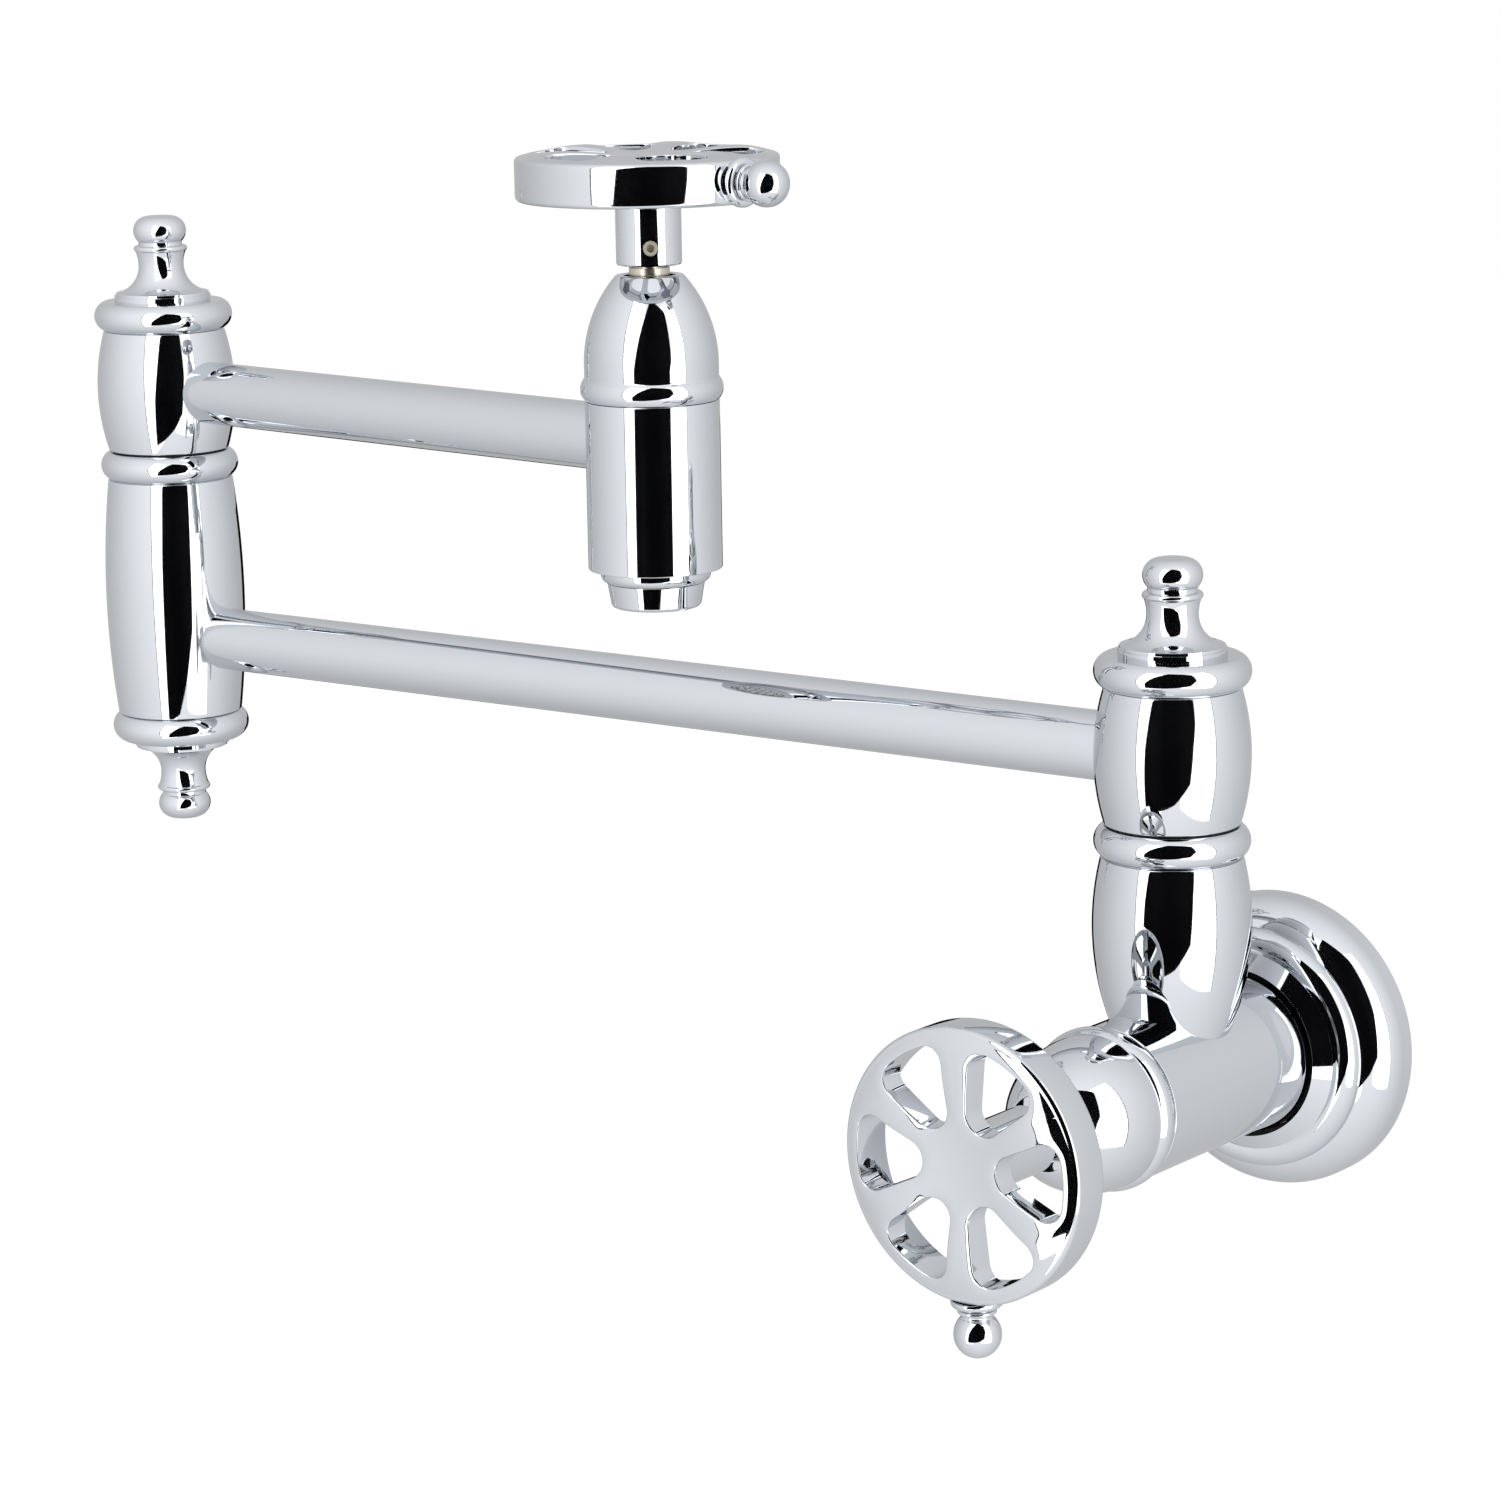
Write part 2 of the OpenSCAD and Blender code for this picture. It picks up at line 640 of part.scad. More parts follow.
// Stem: a tang in the moving disc, a foot bar, a stop collar and a long rod into the wheel
module stem(top) {
    translate([-tang_l / 2, -tang_w / 2, foot_z - tang_h]) cube([tang_l, tang_w, tang_h + stem_foot_h]);
    translate([-stem_foot_l / 2, -stem_foot_w / 2, foot_z])
        cube([stem_foot_l, stem_foot_w, stem_foot_h]);
    rod(stem_r, foot_z, top);
    rod(stem_collar_r, cup_h - end_play - stem_collar_h, cup_h - end_play);
}

// Cartridge: a cup over the discs with side windows, a clamped collar and a thread on top
module cartridge(collar_z) {
    top = collar_z + cartridge_collar_t + gland_thread_l;
    difference() {
        union() {
            rod(cartridge_r, 0, collar_z);
            rod(cartridge_collar_r, collar_z, collar_z + cartridge_collar_t);
            rod(gland_thread_r, collar_z + cartridge_collar_t, top);
        }
        rod(cup_r, -overrun, cup_h);
        rod(stem_r + running_gap, cup_h - overrun, top + overrun);
        for (bearing = [0, 90])
            rotate([0, 0, bearing]) translate([-cartridge_r - overrun, -window_w / 2, window_z])
                cube([2 * (cartridge_r + overrun), window_w, window_h]);
    }
}

// Gland nut round the stem: six flats inside the bonnet and a round end that stands out of it
module gland_nut(collar_z, top) {
    thread_top = collar_z + cartridge_collar_t + gland_thread_l;
    foot = thread_top + gland_cap_t - gland_nut_h;
    difference() {
        union() {
            hex_rod(gland_nut_af, foot, foot + gland_nut_h);
            rod(gland_r, foot, top);
        }
        rod(gland_thread_r + thread_gap, foot - overrun, thread_top);
        rod(stem_r + running_gap, foot, top + overrun);
    }
}

// Bonnet: a bead and a dome that screw over a threaded neck and clamp the cartridge
module bonnet(bead_r, dome_r, height, dome_round, thread_r) {
    sag = dome_r - dome_top_r(dome_r);
    arc_h = sqrt(dome_round * dome_round - (dome_round - sag) * (dome_round - sag));
    ledge = neck_h + cartridge_collar_t;
    difference() {
        rotate_extrude() {
            ring_outline(bead_r - bead_edge_r, bead_edge_r, 0, bead_h);
            band(0, dome_r, bead_h / 2, height - arc_h);
            intersection() {
                band(0, dome_r + overrun, height - arc_h, height);
                long_round_at(dome_r - dome_round, height - arc_h, dome_round);
            }
        }
        rod(thread_r + thread_gap, -overrun, ledge);
        rod(bonnet_space_r, 0, height - bonnet_lip_t);
        rod(bonnet_hole_r, 0, height + overrun);
    }
}

// Radius of the flat on top of a dome
function dome_top_r(dome_r) = dome_r / 2;

// Wheel handle, drawn with its neck's end at height zero and its knob along +X

// One opening between two spokes, on the bearing between them
module wheel_opening() {
    half = 180 / spokes;
    tip_x = (spoke_w / 2 + opening_tip_round) / sin(half);
    corner_x = opening_outer_r - opening_corner_round;
    corner_bearing = half - asin((spoke_rim_w / 2 + opening_corner_round) / corner_x);
    tip = [tip_x, 0];
    corner = [corner_x * cos(corner_bearing), corner_x * sin(corner_bearing)];
    side_l = norm(corner - tip);
    side_bearing = atan2(corner[1], corner[0] - tip_x) + acos((opening_tip_round - opening_corner_round) / side_l);
    side = [cos(side_bearing), sin(side_bearing)];
    tip_edge = tip + (opening_tip_round - opening_step) * side;
    corner_edge = corner + (opening_corner_round - opening_step) * side;
    round_at(tip_x, 0, opening_tip_round);
    for (s = [-1, 1]) round_at(corner[0], s * corner[1], opening_corner_round);
    polygon([[tip_edge[0], -tip_edge[1]], [corner_edge[0], -corner_edge[1]], [corner[0], -corner[1]],
             corner, corner_edge, tip_edge]);
    intersection() {
        circle(r = opening_outer_r - opening_step);
        polygon([[0, 0], [2 * corner[0], -2 * corner[1]], [2 * corner[0], 2 * corner[1]]]);
        translate([corner[0] - overrun, -opening_outer_r])
            square([opening_outer_r, 2 * opening_outer_r]);
    }
}

// The wheel's turned outline: neck, rim with rounded edges, and a face that rises to the middle
module wheel_outline() {
    rim_z = wheel_neck_l;
    face_z = rim_z + rim_t;
    face_r = wheel_r - rim_edge_r;
    face_round = (face_r * face_r + face_rise * face_rise) / (2 * face_rise);
    band(0, wheel_neck_r, 0, face_z);
    band(wheel_r - rim_wall, face_r, rim_z, face_z);
    band(wheel_r - rim_wall, wheel_r, rim_z + rim_edge_r, face_z - rim_edge_r);
    for (z = [rim_z + rim_edge_r, face_z - rim_edge_r]) round_at(face_r, z, rim_edge_r);
    intersection() {
        band(0, face_r, rim_z + back_depth, face_z + face_rise + overrun);
        long_round_at(0, face_z + face_rise - face_round, face_round);
    }
}

module wheel() {
    difference() {
        rotate_extrude() wheel_outline();
        for (i = [0 : spokes - 1])
            rotate([0, 0, (i + 1 / 2) * 360 / spokes])
                linear_extrude(wheel_neck_l + rim_t + face_rise + overrun) wheel_opening();
        rod(stem_r + thread_gap, -overrun, wheel_bore_l);
        side_rod(set_screw_r + thread_gap, 0, wheel_neck_r + overrun, set_screw_z, set_screw_bearing);
        side_rod(knob_stud_r + thread_gap, wheel_r - knob_stud_l, wheel_r + overrun,
                 wheel_neck_l + rim_t / 2, 0);
    }
}

// Knob on the rim: a saucer seated on the rim, a small ring, a ball and a threaded stud
module wheel_knob() {
    ring_z = knob_reach - knob_ball_r;
    round_r = knob_saucer_t - knob_saucer_edge;
    translate([0, 0, wheel_neck_l + rim_t / 2]) rotate([0, 90, 0]) {
        difference() {
            rod(knob_saucer_r, wheel_r - knob_saucer_t, wheel_r + knob_saucer_edge);
            side_rod(wheel_r, -knob_saucer_r - overrun, knob_saucer_r + overrun, 0, 0);
        }
        rotate_extrude() translate([0, wheel_r]) {
            band(0, knob_saucer_r - round_r, knob_saucer_edge, knob_saucer_t);
            intersection() {
                band(0, knob_saucer_r, knob_saucer_edge, knob_saucer_t);
                round_at(knob_saucer_r - round_r, knob_saucer_edge, round_r);
            }
            band(0, knob_neck_r, knob_saucer_edge, knob_reach - knob_ball_r / 2);
            ring_outline(knob_ring_r - knob_ring_h / 2, knob_ring_h / 2,
                         ring_z - knob_ring_h / 2, ring_z + knob_ring_h / 2);
        }
        translate([0, 0, wheel_r + knob_reach]) sphere(r = knob_ball_r);
        rod(knob_stud_r, wheel_r - knob_stud_l, wheel_r + knob_saucer_edge);
    }
}

// Set screw with a six sided socket, from the neck's surface in to the stem
module set_screw() {
    outer = wheel_neck_r - set_screw_sink;
    rotate([0, 0, set_screw_bearing]) translate([0, 0, set_screw_z]) rotate([0, 90, 0])
        difference() {
            rod(set_screw_r, stem_r, outer);
            hex_rod(set_screw_socket_af, outer - set_screw_socket_l, outer + overrun);
        }
}

// Wall flange: a stepped bell with a hollow back, turned round the inlet's axis
module flange_outline() {
    bead_x = flange_step_r - flange_bead_r;
    roll_x = flange_r - flange_roll_r;
    polygon([[flange_hole_r, 0], [bead_x, 0], [bead_x, flange_cone_z], [flange_hole_r, flange_l]]);
    round_at(bead_x, flange_bead_z, flange_bead_r);
    intersection() {
        band(flange_sleeve_r, flange_r + overrun, 0, flange_l);
        round_at(roll_x, flange_roll_z, flange_roll_r);
    }
    polygon([[roll_x, 0], [flange_r - flange_foot_bevel, 0], [flange_r, flange_foot_bevel],
             [flange_r, flange_roll_z], [roll_x, flange_roll_z]]);
}

module flange_hollow() {
    roll_x = flange_r - flange_roll_r;
    hollow_r = flange_roll_r - flange_wall;
    band(flange_sleeve_r, flange_r - flange_wall, -overrun, flange_roll_z);
    intersection() {
        band(flange_sleeve_r, flange_r, -overrun, flange_roll_z + hollow_r);
        round_at(roll_x, flange_roll_z, hollow_r);
    }
}

module wall_flange() {
    color(chrome) on_inlet() difference() {
        rotate_extrude() difference() {
            flange_outline();
            flange_hollow();
        }
        rod(flange_groove_r, flange_seal_z - flange_seal_w / 2 - thread_gap,
            flange_seal_z + flange_seal_w / 2 + thread_gap);
    }
}

module flange_o_ring() {
    color(rubber) on_inlet() translate([0, 0, flange_seal_z])
        seal_ring(body_tail_r + thread_gap, flange_seal_w - thread_gap, flange_seal_w);
}

// Valve body: inlet, passage, valve chamber and threaded neck in one turned piece
module valve_body() {
    flare_sag = body_tail_r - body_r;
    flare_r = (body_flare_l * body_flare_l + flare_sag * flare_sag) / (2 * flare_sag);
    flare_end = body_tail_l + body_flare_l;
    color(chrome) difference() {
        on_inlet() difference() {
            rotate_extrude() {
                band(0, body_tail_r, body_setback, body_tail_l);
                difference() {
                    band(0, body_tail_r, body_tail_l, flare_end);
                    long_round_at(body_r + flare_r, flare_end, flare_r);
                }
                band(0, body_r, flare_end, body_l);
                band(0, front_neck_r, body_l, body_l + neck_h);
            }
            rod(inlet_r, 0, body_setback + inlet_depth);
            rod(passage_r, body_setback, front_seat_s);
            rod(valve_chamber_r, front_seat_s, body_l + neck_h + overrun);
        }
        on_post() rod(passage_r, 0, body_r + overrun);
    }
}

// Post: stands on the valve body and carries the first swivel joint
module swivel_post() {
    color(chrome) difference() {
        on_post() rotate_extrude() {
            intersection() {
                band(0, post_belly_r + overrun, 0, post_ring_z);
                long_round_at(post_belly_r - post_bulge, post_belly_z, post_bulge);
            }
            ring_outline(ring_core_r, ring_edge_r, post_ring_z, seat_z);
        }
        on_inlet() rod(body_r, 0, 2 * post_standoff);
        on_post() rod(passage_r, 0, seat_z);
        on_post() rod(spindle_r + thread_gap, seat_z - spindle_thread_l, seat_z + overrun);
    }
}

// Long barrel of the elbow: takes the lower tube and carries the second swivel joint
module elbow_lower_barrel() {
    color(chrome) on_elbow() rotate([0, 0, lower_arm_bearing - 180]) difference() {
        rotate_extrude() {
            bulge(elbow_belly_r, elbow_end_r, elbow_foot_z, elbow_seat_z - ring_h);
            ring_outline(ring_core_r, ring_edge_r, elbow_seat_z - ring_h, elbow_seat_z);
        }
        rod(chamber_r, elbow_chamber_z, elbow_chamber_z + elbow_chamber_h);
        rod(passage_r, elbow_chamber_z, elbow_seat_z);
        rod(spindle_r + thread_gap, elbow_seat_z - spindle_thread_l, elbow_seat_z + overrun);
        rod(finial_stud_r + thread_gap, elbow_foot_z - overrun, elbow_foot_z + finial_stud_grip);
        translate([0, 0, lower_tube_z]) tube_socket(chamber_r + socket_land, elbow_belly_r);
    }
}

module elbow_bottom_collar() {
    color(chrome) on_elbow() difference() {
        rotate_extrude()
            ring_outline(ring_core_r, ring_edge_r, elbow_foot_z - ring_h, elbow_foot_z);
        rod(finial_stud_r + thread_gap, elbow_foot_z - ring_h - overrun, elbow_foot_z + overrun);
    }
}

module elbow_bottom_finial() {
    color(chrome) on_elbow() translate([0, 0, elbow_foot_z - ring_h]) mirror([0, 0, 1])
        finial(ring_h + finial_stud_grip);
}

// Straight tube between two columns
module arm_tube(bearing, from_r, to_r) {
    difference() {
        side_rod(tube_r, from_r, to_r, 0, bearing);
        side_rod(tube_r - tube_wall, from_r - overrun, to_r + overrun, 0, bearing);
    }
}

module lower_tube() {
    color(chrome) at_base_swivel()
        arm_tube(lower_arm_bearing, chamber_r + socket_land, lower_arm_l - chamber_r - socket_land);
}

module upper_tube() {
    color(chrome) at_elbow_swivel()
        arm_tube(upper_arm_bearing, chamber_r + socket_land,
                 upper_arm_l - valve_chamber_r - socket_land);
}

// Spout: an upright cylinder with the second valve above the tube and the outlet below
module spout_body() {
    round_x = shoulder_r - shoulder_round;
    color(chrome) on_spout() rotate([0, 0, upper_arm_bearing + 180]) difference() {
        rotate_extrude() {
            band(0, spout_r, spout_foot_z, spout_top_z);
            band(0, spout_neck_r, spout_top_z, spout_top_z + neck_h);
            band(0, shoulder_r, shoulder_foot_z + shoulder_round, spout_foot_z);
            band(0, round_x, shoulder_foot_z, spout_foot_z);
            intersection() {
                band(0, shoulder_r, shoulder_foot_z, spout_foot_z);
                round_at(round_x, shoulder_foot_z + shoulder_round, shoulder_round);
            }
        }
        rod(valve_chamber_r, spout_seat_z, spout_top_z + neck_h + overrun);
        rod(passage_r, shoulder_foot_z, spout_seat_z + overrun);
        rod(aerator_thread_r + thread_gap, shoulder_foot_z - overrun, aerator_seat_z);
        translate([0, 0, upper_tube_z]) tube_socket(valve_chamber_r + socket_land, spout_r);
    }
}

// Aerator: a tapered skirt under a thread, left plain all round
module aerator_housing() {
    skirt_foot_z = shoulder_foot_z - skirt_h;
    color(chrome) on_spout() difference() {
        rotate_extrude() {
            polygon([[0, skirt_foot_z], [skirt_foot_r - skirt_bevel, skirt_foot_z],
                     [skirt_foot_r, skirt_foot_z + skirt_bevel], [skirt_top_r, shoulder_foot_z],
                     [0, shoulder_foot_z]]);
            band(0, aerator_thread_r, shoulder_foot_z, shoulder_foot_z + aerator_thread_l);
        }
        rod(aerator_bore_r - aerator_lip_w, skirt_foot_z - overrun, shoulder_foot_z);
        rod(aerator_bore_r, skirt_foot_z + aerator_lip_h,
            shoulder_foot_z + aerator_thread_l + overrun);
    }
}

module aerator_washer() {
    color(rubber) on_spout() difference() {
        rod(aerator_thread_r, aerator_seat_z - aerator_washer_t, aerator_seat_z);
        rod(aerator_thread_r - aerator_washer_w, aerator_seat_z - aerator_washer_t - overrun,
            aerator_seat_z + overrun);
    }
}

// Screen in the aerator's mouth, drilled in rings of holes
module aerator_screen() {
    foot = shoulder_foot_z - skirt_h + aerator_lip_h;
    rings = floor((aerator_bore_r - aerator_lip_w - screen_hole_r) / screen_pitch);
    color(plastic) on_spout() difference() {
        rod(aerator_bore_r - thread_gap, foot, foot + screen_t);
        rod(screen_hole_r, foot - overrun, foot + screen_t + overrun);
        for (ring = [1 : rings])
            for (i = [0 : 6 * ring - 1])
                rotate([0, 0, i * 60 / ring]) translate([ring * screen_pitch, 0, 0])
                    rod(screen_hole_r, foot - overrun, foot + screen_t + overrun);
    }
}

// Front valve's pieces, with the seat's place on the inlet's axis
module at_front_seat() on_inlet() translate([0, 0, front_seat_s]) children();
module front_bonnet()
    color(chrome) on_inlet() translate([0, 0, body_l])
        bonnet(front_bead_r, front_dome_r, front_bonnet_h, front_dome_round, front_neck_r);
module front_cartridge() color(nickel) at_front_seat() cartridge(front_cartridge_h);
module front_fixed_disc() color(ceramic) at_front_seat() fixed_disc();
module front_seat_seal() color(rubber) at_front_seat() seat_seal();
module front_moving_disc() color(ceramic) at_front_seat() moving_disc();
module front_gland_nut()
    color(nickel) at_front_seat()
        gland_nut(front_cartridge_h, body_l + front_bonnet_h + gland_out - front_seat_s);
module front_stem()
    color(nickel) at_front_seat()
        stem(body_l + front_bonnet_h + front_wheel_gap + wheel_bore_l - front_seat_s);

// Spout valve's pieces, with the seat's place on the spout's axis
module at_spout_seat() on_spout() translate([0, 0, spout_seat_z]) children();
module spout_bonnet()
    color(chrome) on_spout() translate([0, 0, spout_top_z])
        bonnet(spout_bead_r, spout_dome_r, spout_bonnet_h, spout_dome_round, spout_neck_r);
module spout_cartridge() color(nickel) at_spout_seat() cartridge(spout_cartridge_h);
module spout_fixed_disc() color(ceramic) at_spout_seat() fixed_disc();
module spout_seat_seal() color(rubber) at_spout_seat() seat_seal();
module spout_moving_disc() color(ceramic) at_spout_seat() moving_disc();
module spout_gland_nut()
    color(nickel) at_spout_seat()
        gland_nut(spout_cartridge_h, spout_top_z + spout_bonnet_h + gland_out - spout_seat_z);
module spout_stem()
    color(nickel) at_spout_seat()
        stem(spout_top_z + spout_bonnet_h + spout_wheel_gap + wheel_bore_l - spout_seat_z);

// Wheels with their knobs and set screws
module front_wheel() color(chrome) at_front_wheel() wheel();
module front_wheel_knob() color(chrome) at_front_wheel() wheel_knob();
module front_set_screw() color(nickel) at_front_wheel() set_screw();
module spout_wheel() color(chrome) at_spout_wheel() wheel();
module spout_wheel_knob() color(chrome) at_spout_wheel() wheel_knob();
module spout_set_screw() color(nickel) at_spout_wheel() set_screw();

// First swivel joint, between the post and the lower arm
module base_spindle() color(nickel) at_base_swivel() swivel_spindle();
module base_thrust_washer() color(rubber) at_base_swivel() swivel_washer();
module base_spindle_nut() color(nickel) at_base_swivel() swivel_nut();
module base_barrel() color(chrome) at_base_swivel() swivel_barrel(lower_arm_bearing);
module base_collar() color(chrome) at_base_swivel() swivel_collar();
module base_finial()
    color(chrome) at_base_swivel() translate([0, 0, barrel_h / 2 + ring_h]) finial(collar_web_t);
module base_lower_seal() color(rubber) at_base_swivel() swivel_seal(-1);
module base_upper_seal() color(rubber) at_base_swivel() swivel_seal(1);

// Second swivel joint, between the lower arm and the upper arm
module elbow_spindle() color(nickel) at_elbow_swivel() swivel_spindle();
module elbow_thrust_washer() color(rubber) at_elbow_swivel() swivel_washer();
module elbow_spindle_nut() color(nickel) at_elbow_swivel() swivel_nut();
module elbow_upper_barrel() color(chrome) at_elbow_swivel() swivel_barrel(upper_arm_bearing);
module elbow_top_collar() color(chrome) at_elbow_swivel() swivel_collar();
module elbow_top_finial()
    color(chrome) at_elbow_swivel() translate([0, 0, barrel_h / 2 + ring_h]) finial(collar_web_t);
module elbow_lower_seal() color(rubber) at_elbow_swivel() swivel_seal(-1);
module elbow_upper_seal() color(rubber) at_elbow_swivel() swivel_seal(1);

wall_flange();
flange_o_ring();
valve_body();
swivel_post();
front_bonnet();
front_cartridge();
front_fixed_disc();
front_seat_seal();
front_gland_nut();
base_spindle();
base_thrust_washer();
base_spindle_nut();
front_wheel();
front_wheel_knob();
front_set_screw();
front_stem();
front_moving_disc();
base_barrel();
base_collar();
base_finial();
base_lower_seal();
base_upper_seal();
lower_tube();
elbow_lower_barrel();
elbow_bottom_collar();
elbow_bottom_finial();
elbow_spindle();
elbow_thrust_washer();
elbow_spindle_nut();
elbow_upper_barrel();
elbow_top_collar();
elbow_top_finial();
elbow_lower_seal();
elbow_upper_seal();
upper_tube();
spout_body();
spout_bonnet();
spout_cartridge();
spout_fixed_disc();
spout_seat_seal();
spout_gland_nut();
aerator_housing();
aerator_washer();
aerator_screen();
spout_wheel();
spout_wheel_knob();
spout_set_screw();
spout_stem();
spout_moving_disc();
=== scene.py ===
"""The pot filler's looks: a chrome plated tap with two swing arms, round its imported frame."""

import json
import math

import bmesh
import bpy
from mathutils import Matrix, Vector


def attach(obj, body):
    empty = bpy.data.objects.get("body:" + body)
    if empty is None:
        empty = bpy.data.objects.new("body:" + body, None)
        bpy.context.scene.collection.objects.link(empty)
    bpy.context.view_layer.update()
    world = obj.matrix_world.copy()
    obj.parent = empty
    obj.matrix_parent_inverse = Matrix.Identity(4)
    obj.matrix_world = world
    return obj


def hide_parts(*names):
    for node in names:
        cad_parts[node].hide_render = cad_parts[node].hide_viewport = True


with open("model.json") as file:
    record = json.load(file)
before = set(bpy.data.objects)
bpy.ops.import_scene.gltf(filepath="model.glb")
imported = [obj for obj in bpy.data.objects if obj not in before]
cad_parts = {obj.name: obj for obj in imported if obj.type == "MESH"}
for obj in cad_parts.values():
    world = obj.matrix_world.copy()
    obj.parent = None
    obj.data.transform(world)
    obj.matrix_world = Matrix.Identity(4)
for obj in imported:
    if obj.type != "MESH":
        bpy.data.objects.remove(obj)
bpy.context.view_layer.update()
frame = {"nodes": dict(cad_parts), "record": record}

# Camera: stands to the right of the tap, a little above it, with a long lens.
# It has the photograph's viewing angle.
CAMERA_PLACE = (0.610832, -0.986467, 0.320918)
CAMERA_YAW, CAMERA_PITCH, CAMERA_ROLL = (math.radians(a) for a in (38.776, 11.818, -1.009))
SENSOR_MM = 36
LENS_MM = 107.112
SIGHT_M = 50

ahead = Vector((
    -math.sin(CAMERA_YAW) * math.cos(CAMERA_PITCH),
    math.cos(CAMERA_YAW) * math.cos(CAMERA_PITCH),
    -math.sin(CAMERA_PITCH),
))
across = Vector((math.cos(CAMERA_YAW), math.sin(CAMERA_YAW), 0))
upward = across.cross(ahead)
frame_x = across * math.cos(CAMERA_ROLL) + upward * math.sin(CAMERA_ROLL)
frame_y = upward * math.cos(CAMERA_ROLL) - across * math.sin(CAMERA_ROLL)
camera = bpy.data.objects.new("camera", bpy.data.cameras.new("camera"))
camera.data.sensor_width = SENSOR_MM
camera.data.lens = LENS_MM
camera.data.clip_end = SIGHT_M
camera_turn = Matrix((frame_x, frame_y, -ahead)).transposed().to_4x4()
camera.matrix_world = Matrix.Translation(CAMERA_PLACE) @ camera_turn
bpy.context.scene.collection.objects.link(camera)
bpy.context.scene.camera = camera

# Chrome plate over turned and cast brass, buffed to a mirror. Chromium throws back under two thirds of the
# light, with a cool tint, so places that mirror each other go dark.
# The brass under it is buffed by hand, so the mirror is very slightly wavy and nowhere dull.
CHROME_HEX = "#ced1d5"
CHROME_ROUGHNESS = (0.02, 0.05)
BUFFING_WAVE_MM = 9
BUFFING_DEPTH_MM = 0.004
MM = 0.001


def linear(hex_colour):
    """An sRGB hex colour as linear red, green, blue and alpha."""
    shares = [int(hex_colour[i : i + 2], 16) / 255 for i in (1, 3, 5)]
    return [c / 12.92 if c <= 0.04045 else ((c + 0.055) / 1.055) ** 2.4 for c in shares] + [1.0]


def add(tree, kind, settings=None, links=None):
    """Adds a node, sets its properties and sockets by name, and links sockets from other nodes' outputs."""
    node = tree.nodes.new(kind)
    for name, value in (settings or {}).items():
        if hasattr(node, name):
            setattr(node, name, value)
        else:
            node.inputs[name].default_value = value
    for name, output in (links or {}).items():
        tree.links.new(output, node.inputs[name])
    return node


def new_material(name):
    """A material with an empty node tree."""
    material = bpy.data.materials.new(name)
    material.use_nodes = True
    material.node_tree.nodes.clear()
    return material, material.node_tree


polished_chrome, tree = new_material("polished_chrome_plate")
place = add(tree, "ShaderNodeTexCoord")
wave = add(tree, "ShaderNodeTexNoise", {"Scale": 1 / (BUFFING_WAVE_MM * MM), "Detail": 1.0},
           {"Vector": place.outputs["Object"]})
gloss = add(tree, "ShaderNodeMapRange", {"To Min": CHROME_ROUGHNESS[0], "To Max": CHROME_ROUGHNESS[1]},
            {"Value": wave.outputs["Fac"]})
bump = add(tree, "ShaderNodeBump", {"Strength": 1.0, "Distance": BUFFING_DEPTH_MM * MM},
           {"Height": wave.outputs["Fac"]})
metal = add(tree, "ShaderNodeBsdfPrincipled", {"Base Color": linear(CHROME_HEX), "Metallic": 1.0},
            {"Roughness": gloss.outputs["Result"], "Normal": bump.outputs["Normal"]})
add(tree, "ShaderNodeOutputMaterial", None, {"Surface": metal.outputs["BSDF"]})

# Wall flange: a spun brass bell with a rolled step and a rolled foot, plated outside.
# It slides on the valve body's tail over a rubber ring and closes the hole in the wall.
FLANGE_FOOT_R, FLANGE_FOOT_BEVEL = 39.3, 0.6
FLANGE_ROLL, FLANGE_ROLL_ANGLES = (29.3, 5.2, 10.0), (0, 72.5)
FLANGE_BEAD, FLANGE_BEAD_ANGLES = (27.8, 15.2, 4.5), (-5.5, 103.5)
FLANGE_HOLE_R, FLANGE_LENGTH, FLANGE_SLEEVE_R = 22.6, 22.8, 25.2
FLANGE_HOLLOW, FLANGE_HOLLOW_ANGLES = (29.3, 5.2, 7.4), (123.6, 0)
SOFT_EDGE = 0.3
ROUND_STEPS = 160
SAME_POINT = 0.0005
SHARP_ANGLE = math.radians(32)


def arc(centre_r, centre_z, radius, start, end, steps=24):
    """Points of an arc in a profile, by its angles in degrees, counted from outwards to upwards."""
    angles = [math.radians(start + (end - start) * i / steps) for i in range(steps + 1)]
    return [(centre_r + radius * math.cos(a), centre_z + radius * math.sin(a)) for a in angles]


def turned(profile, closed=True):
    """A bmesh of a turned piece: the profile, in mm of radius and height, spun round the Z axis."""
    bm = bmesh.new()
    line = [bm.verts.new((r, 0, z)) for r, z in profile]
    for a, b in zip(line, line[1:]):
        bm.edges.new((a, b))
    if closed:
        bm.edges.new((line[-1], line[0]))
    bmesh.ops.spin(bm, geom=bm.verts[:] + bm.edges[:], axis=(0, 0, 1), cent=(0, 0, 0),
                   angle=math.tau, steps=ROUND_STEPS, use_merge=True)
    bmesh.ops.remove_doubles(bm, verts=bm.verts, dist=SAME_POINT)
    bmesh.ops.recalc_face_normals(bm, faces=bm.faces)
    return bm


def soften(bm, width=SOFT_EDGE, segments=3):
    """Breaks the sharp edges as buffing does."""
    sharp = [e for e in bm.edges if len(e.link_faces) == 2 and e.calc_face_angle() > SHARP_ANGLE]
    bmesh.ops.bevel(bm, geom=sharp, offset=width, segments=segments, profile=0.5, affect="EDGES",
                    material=-1, clamp_overlap=True)


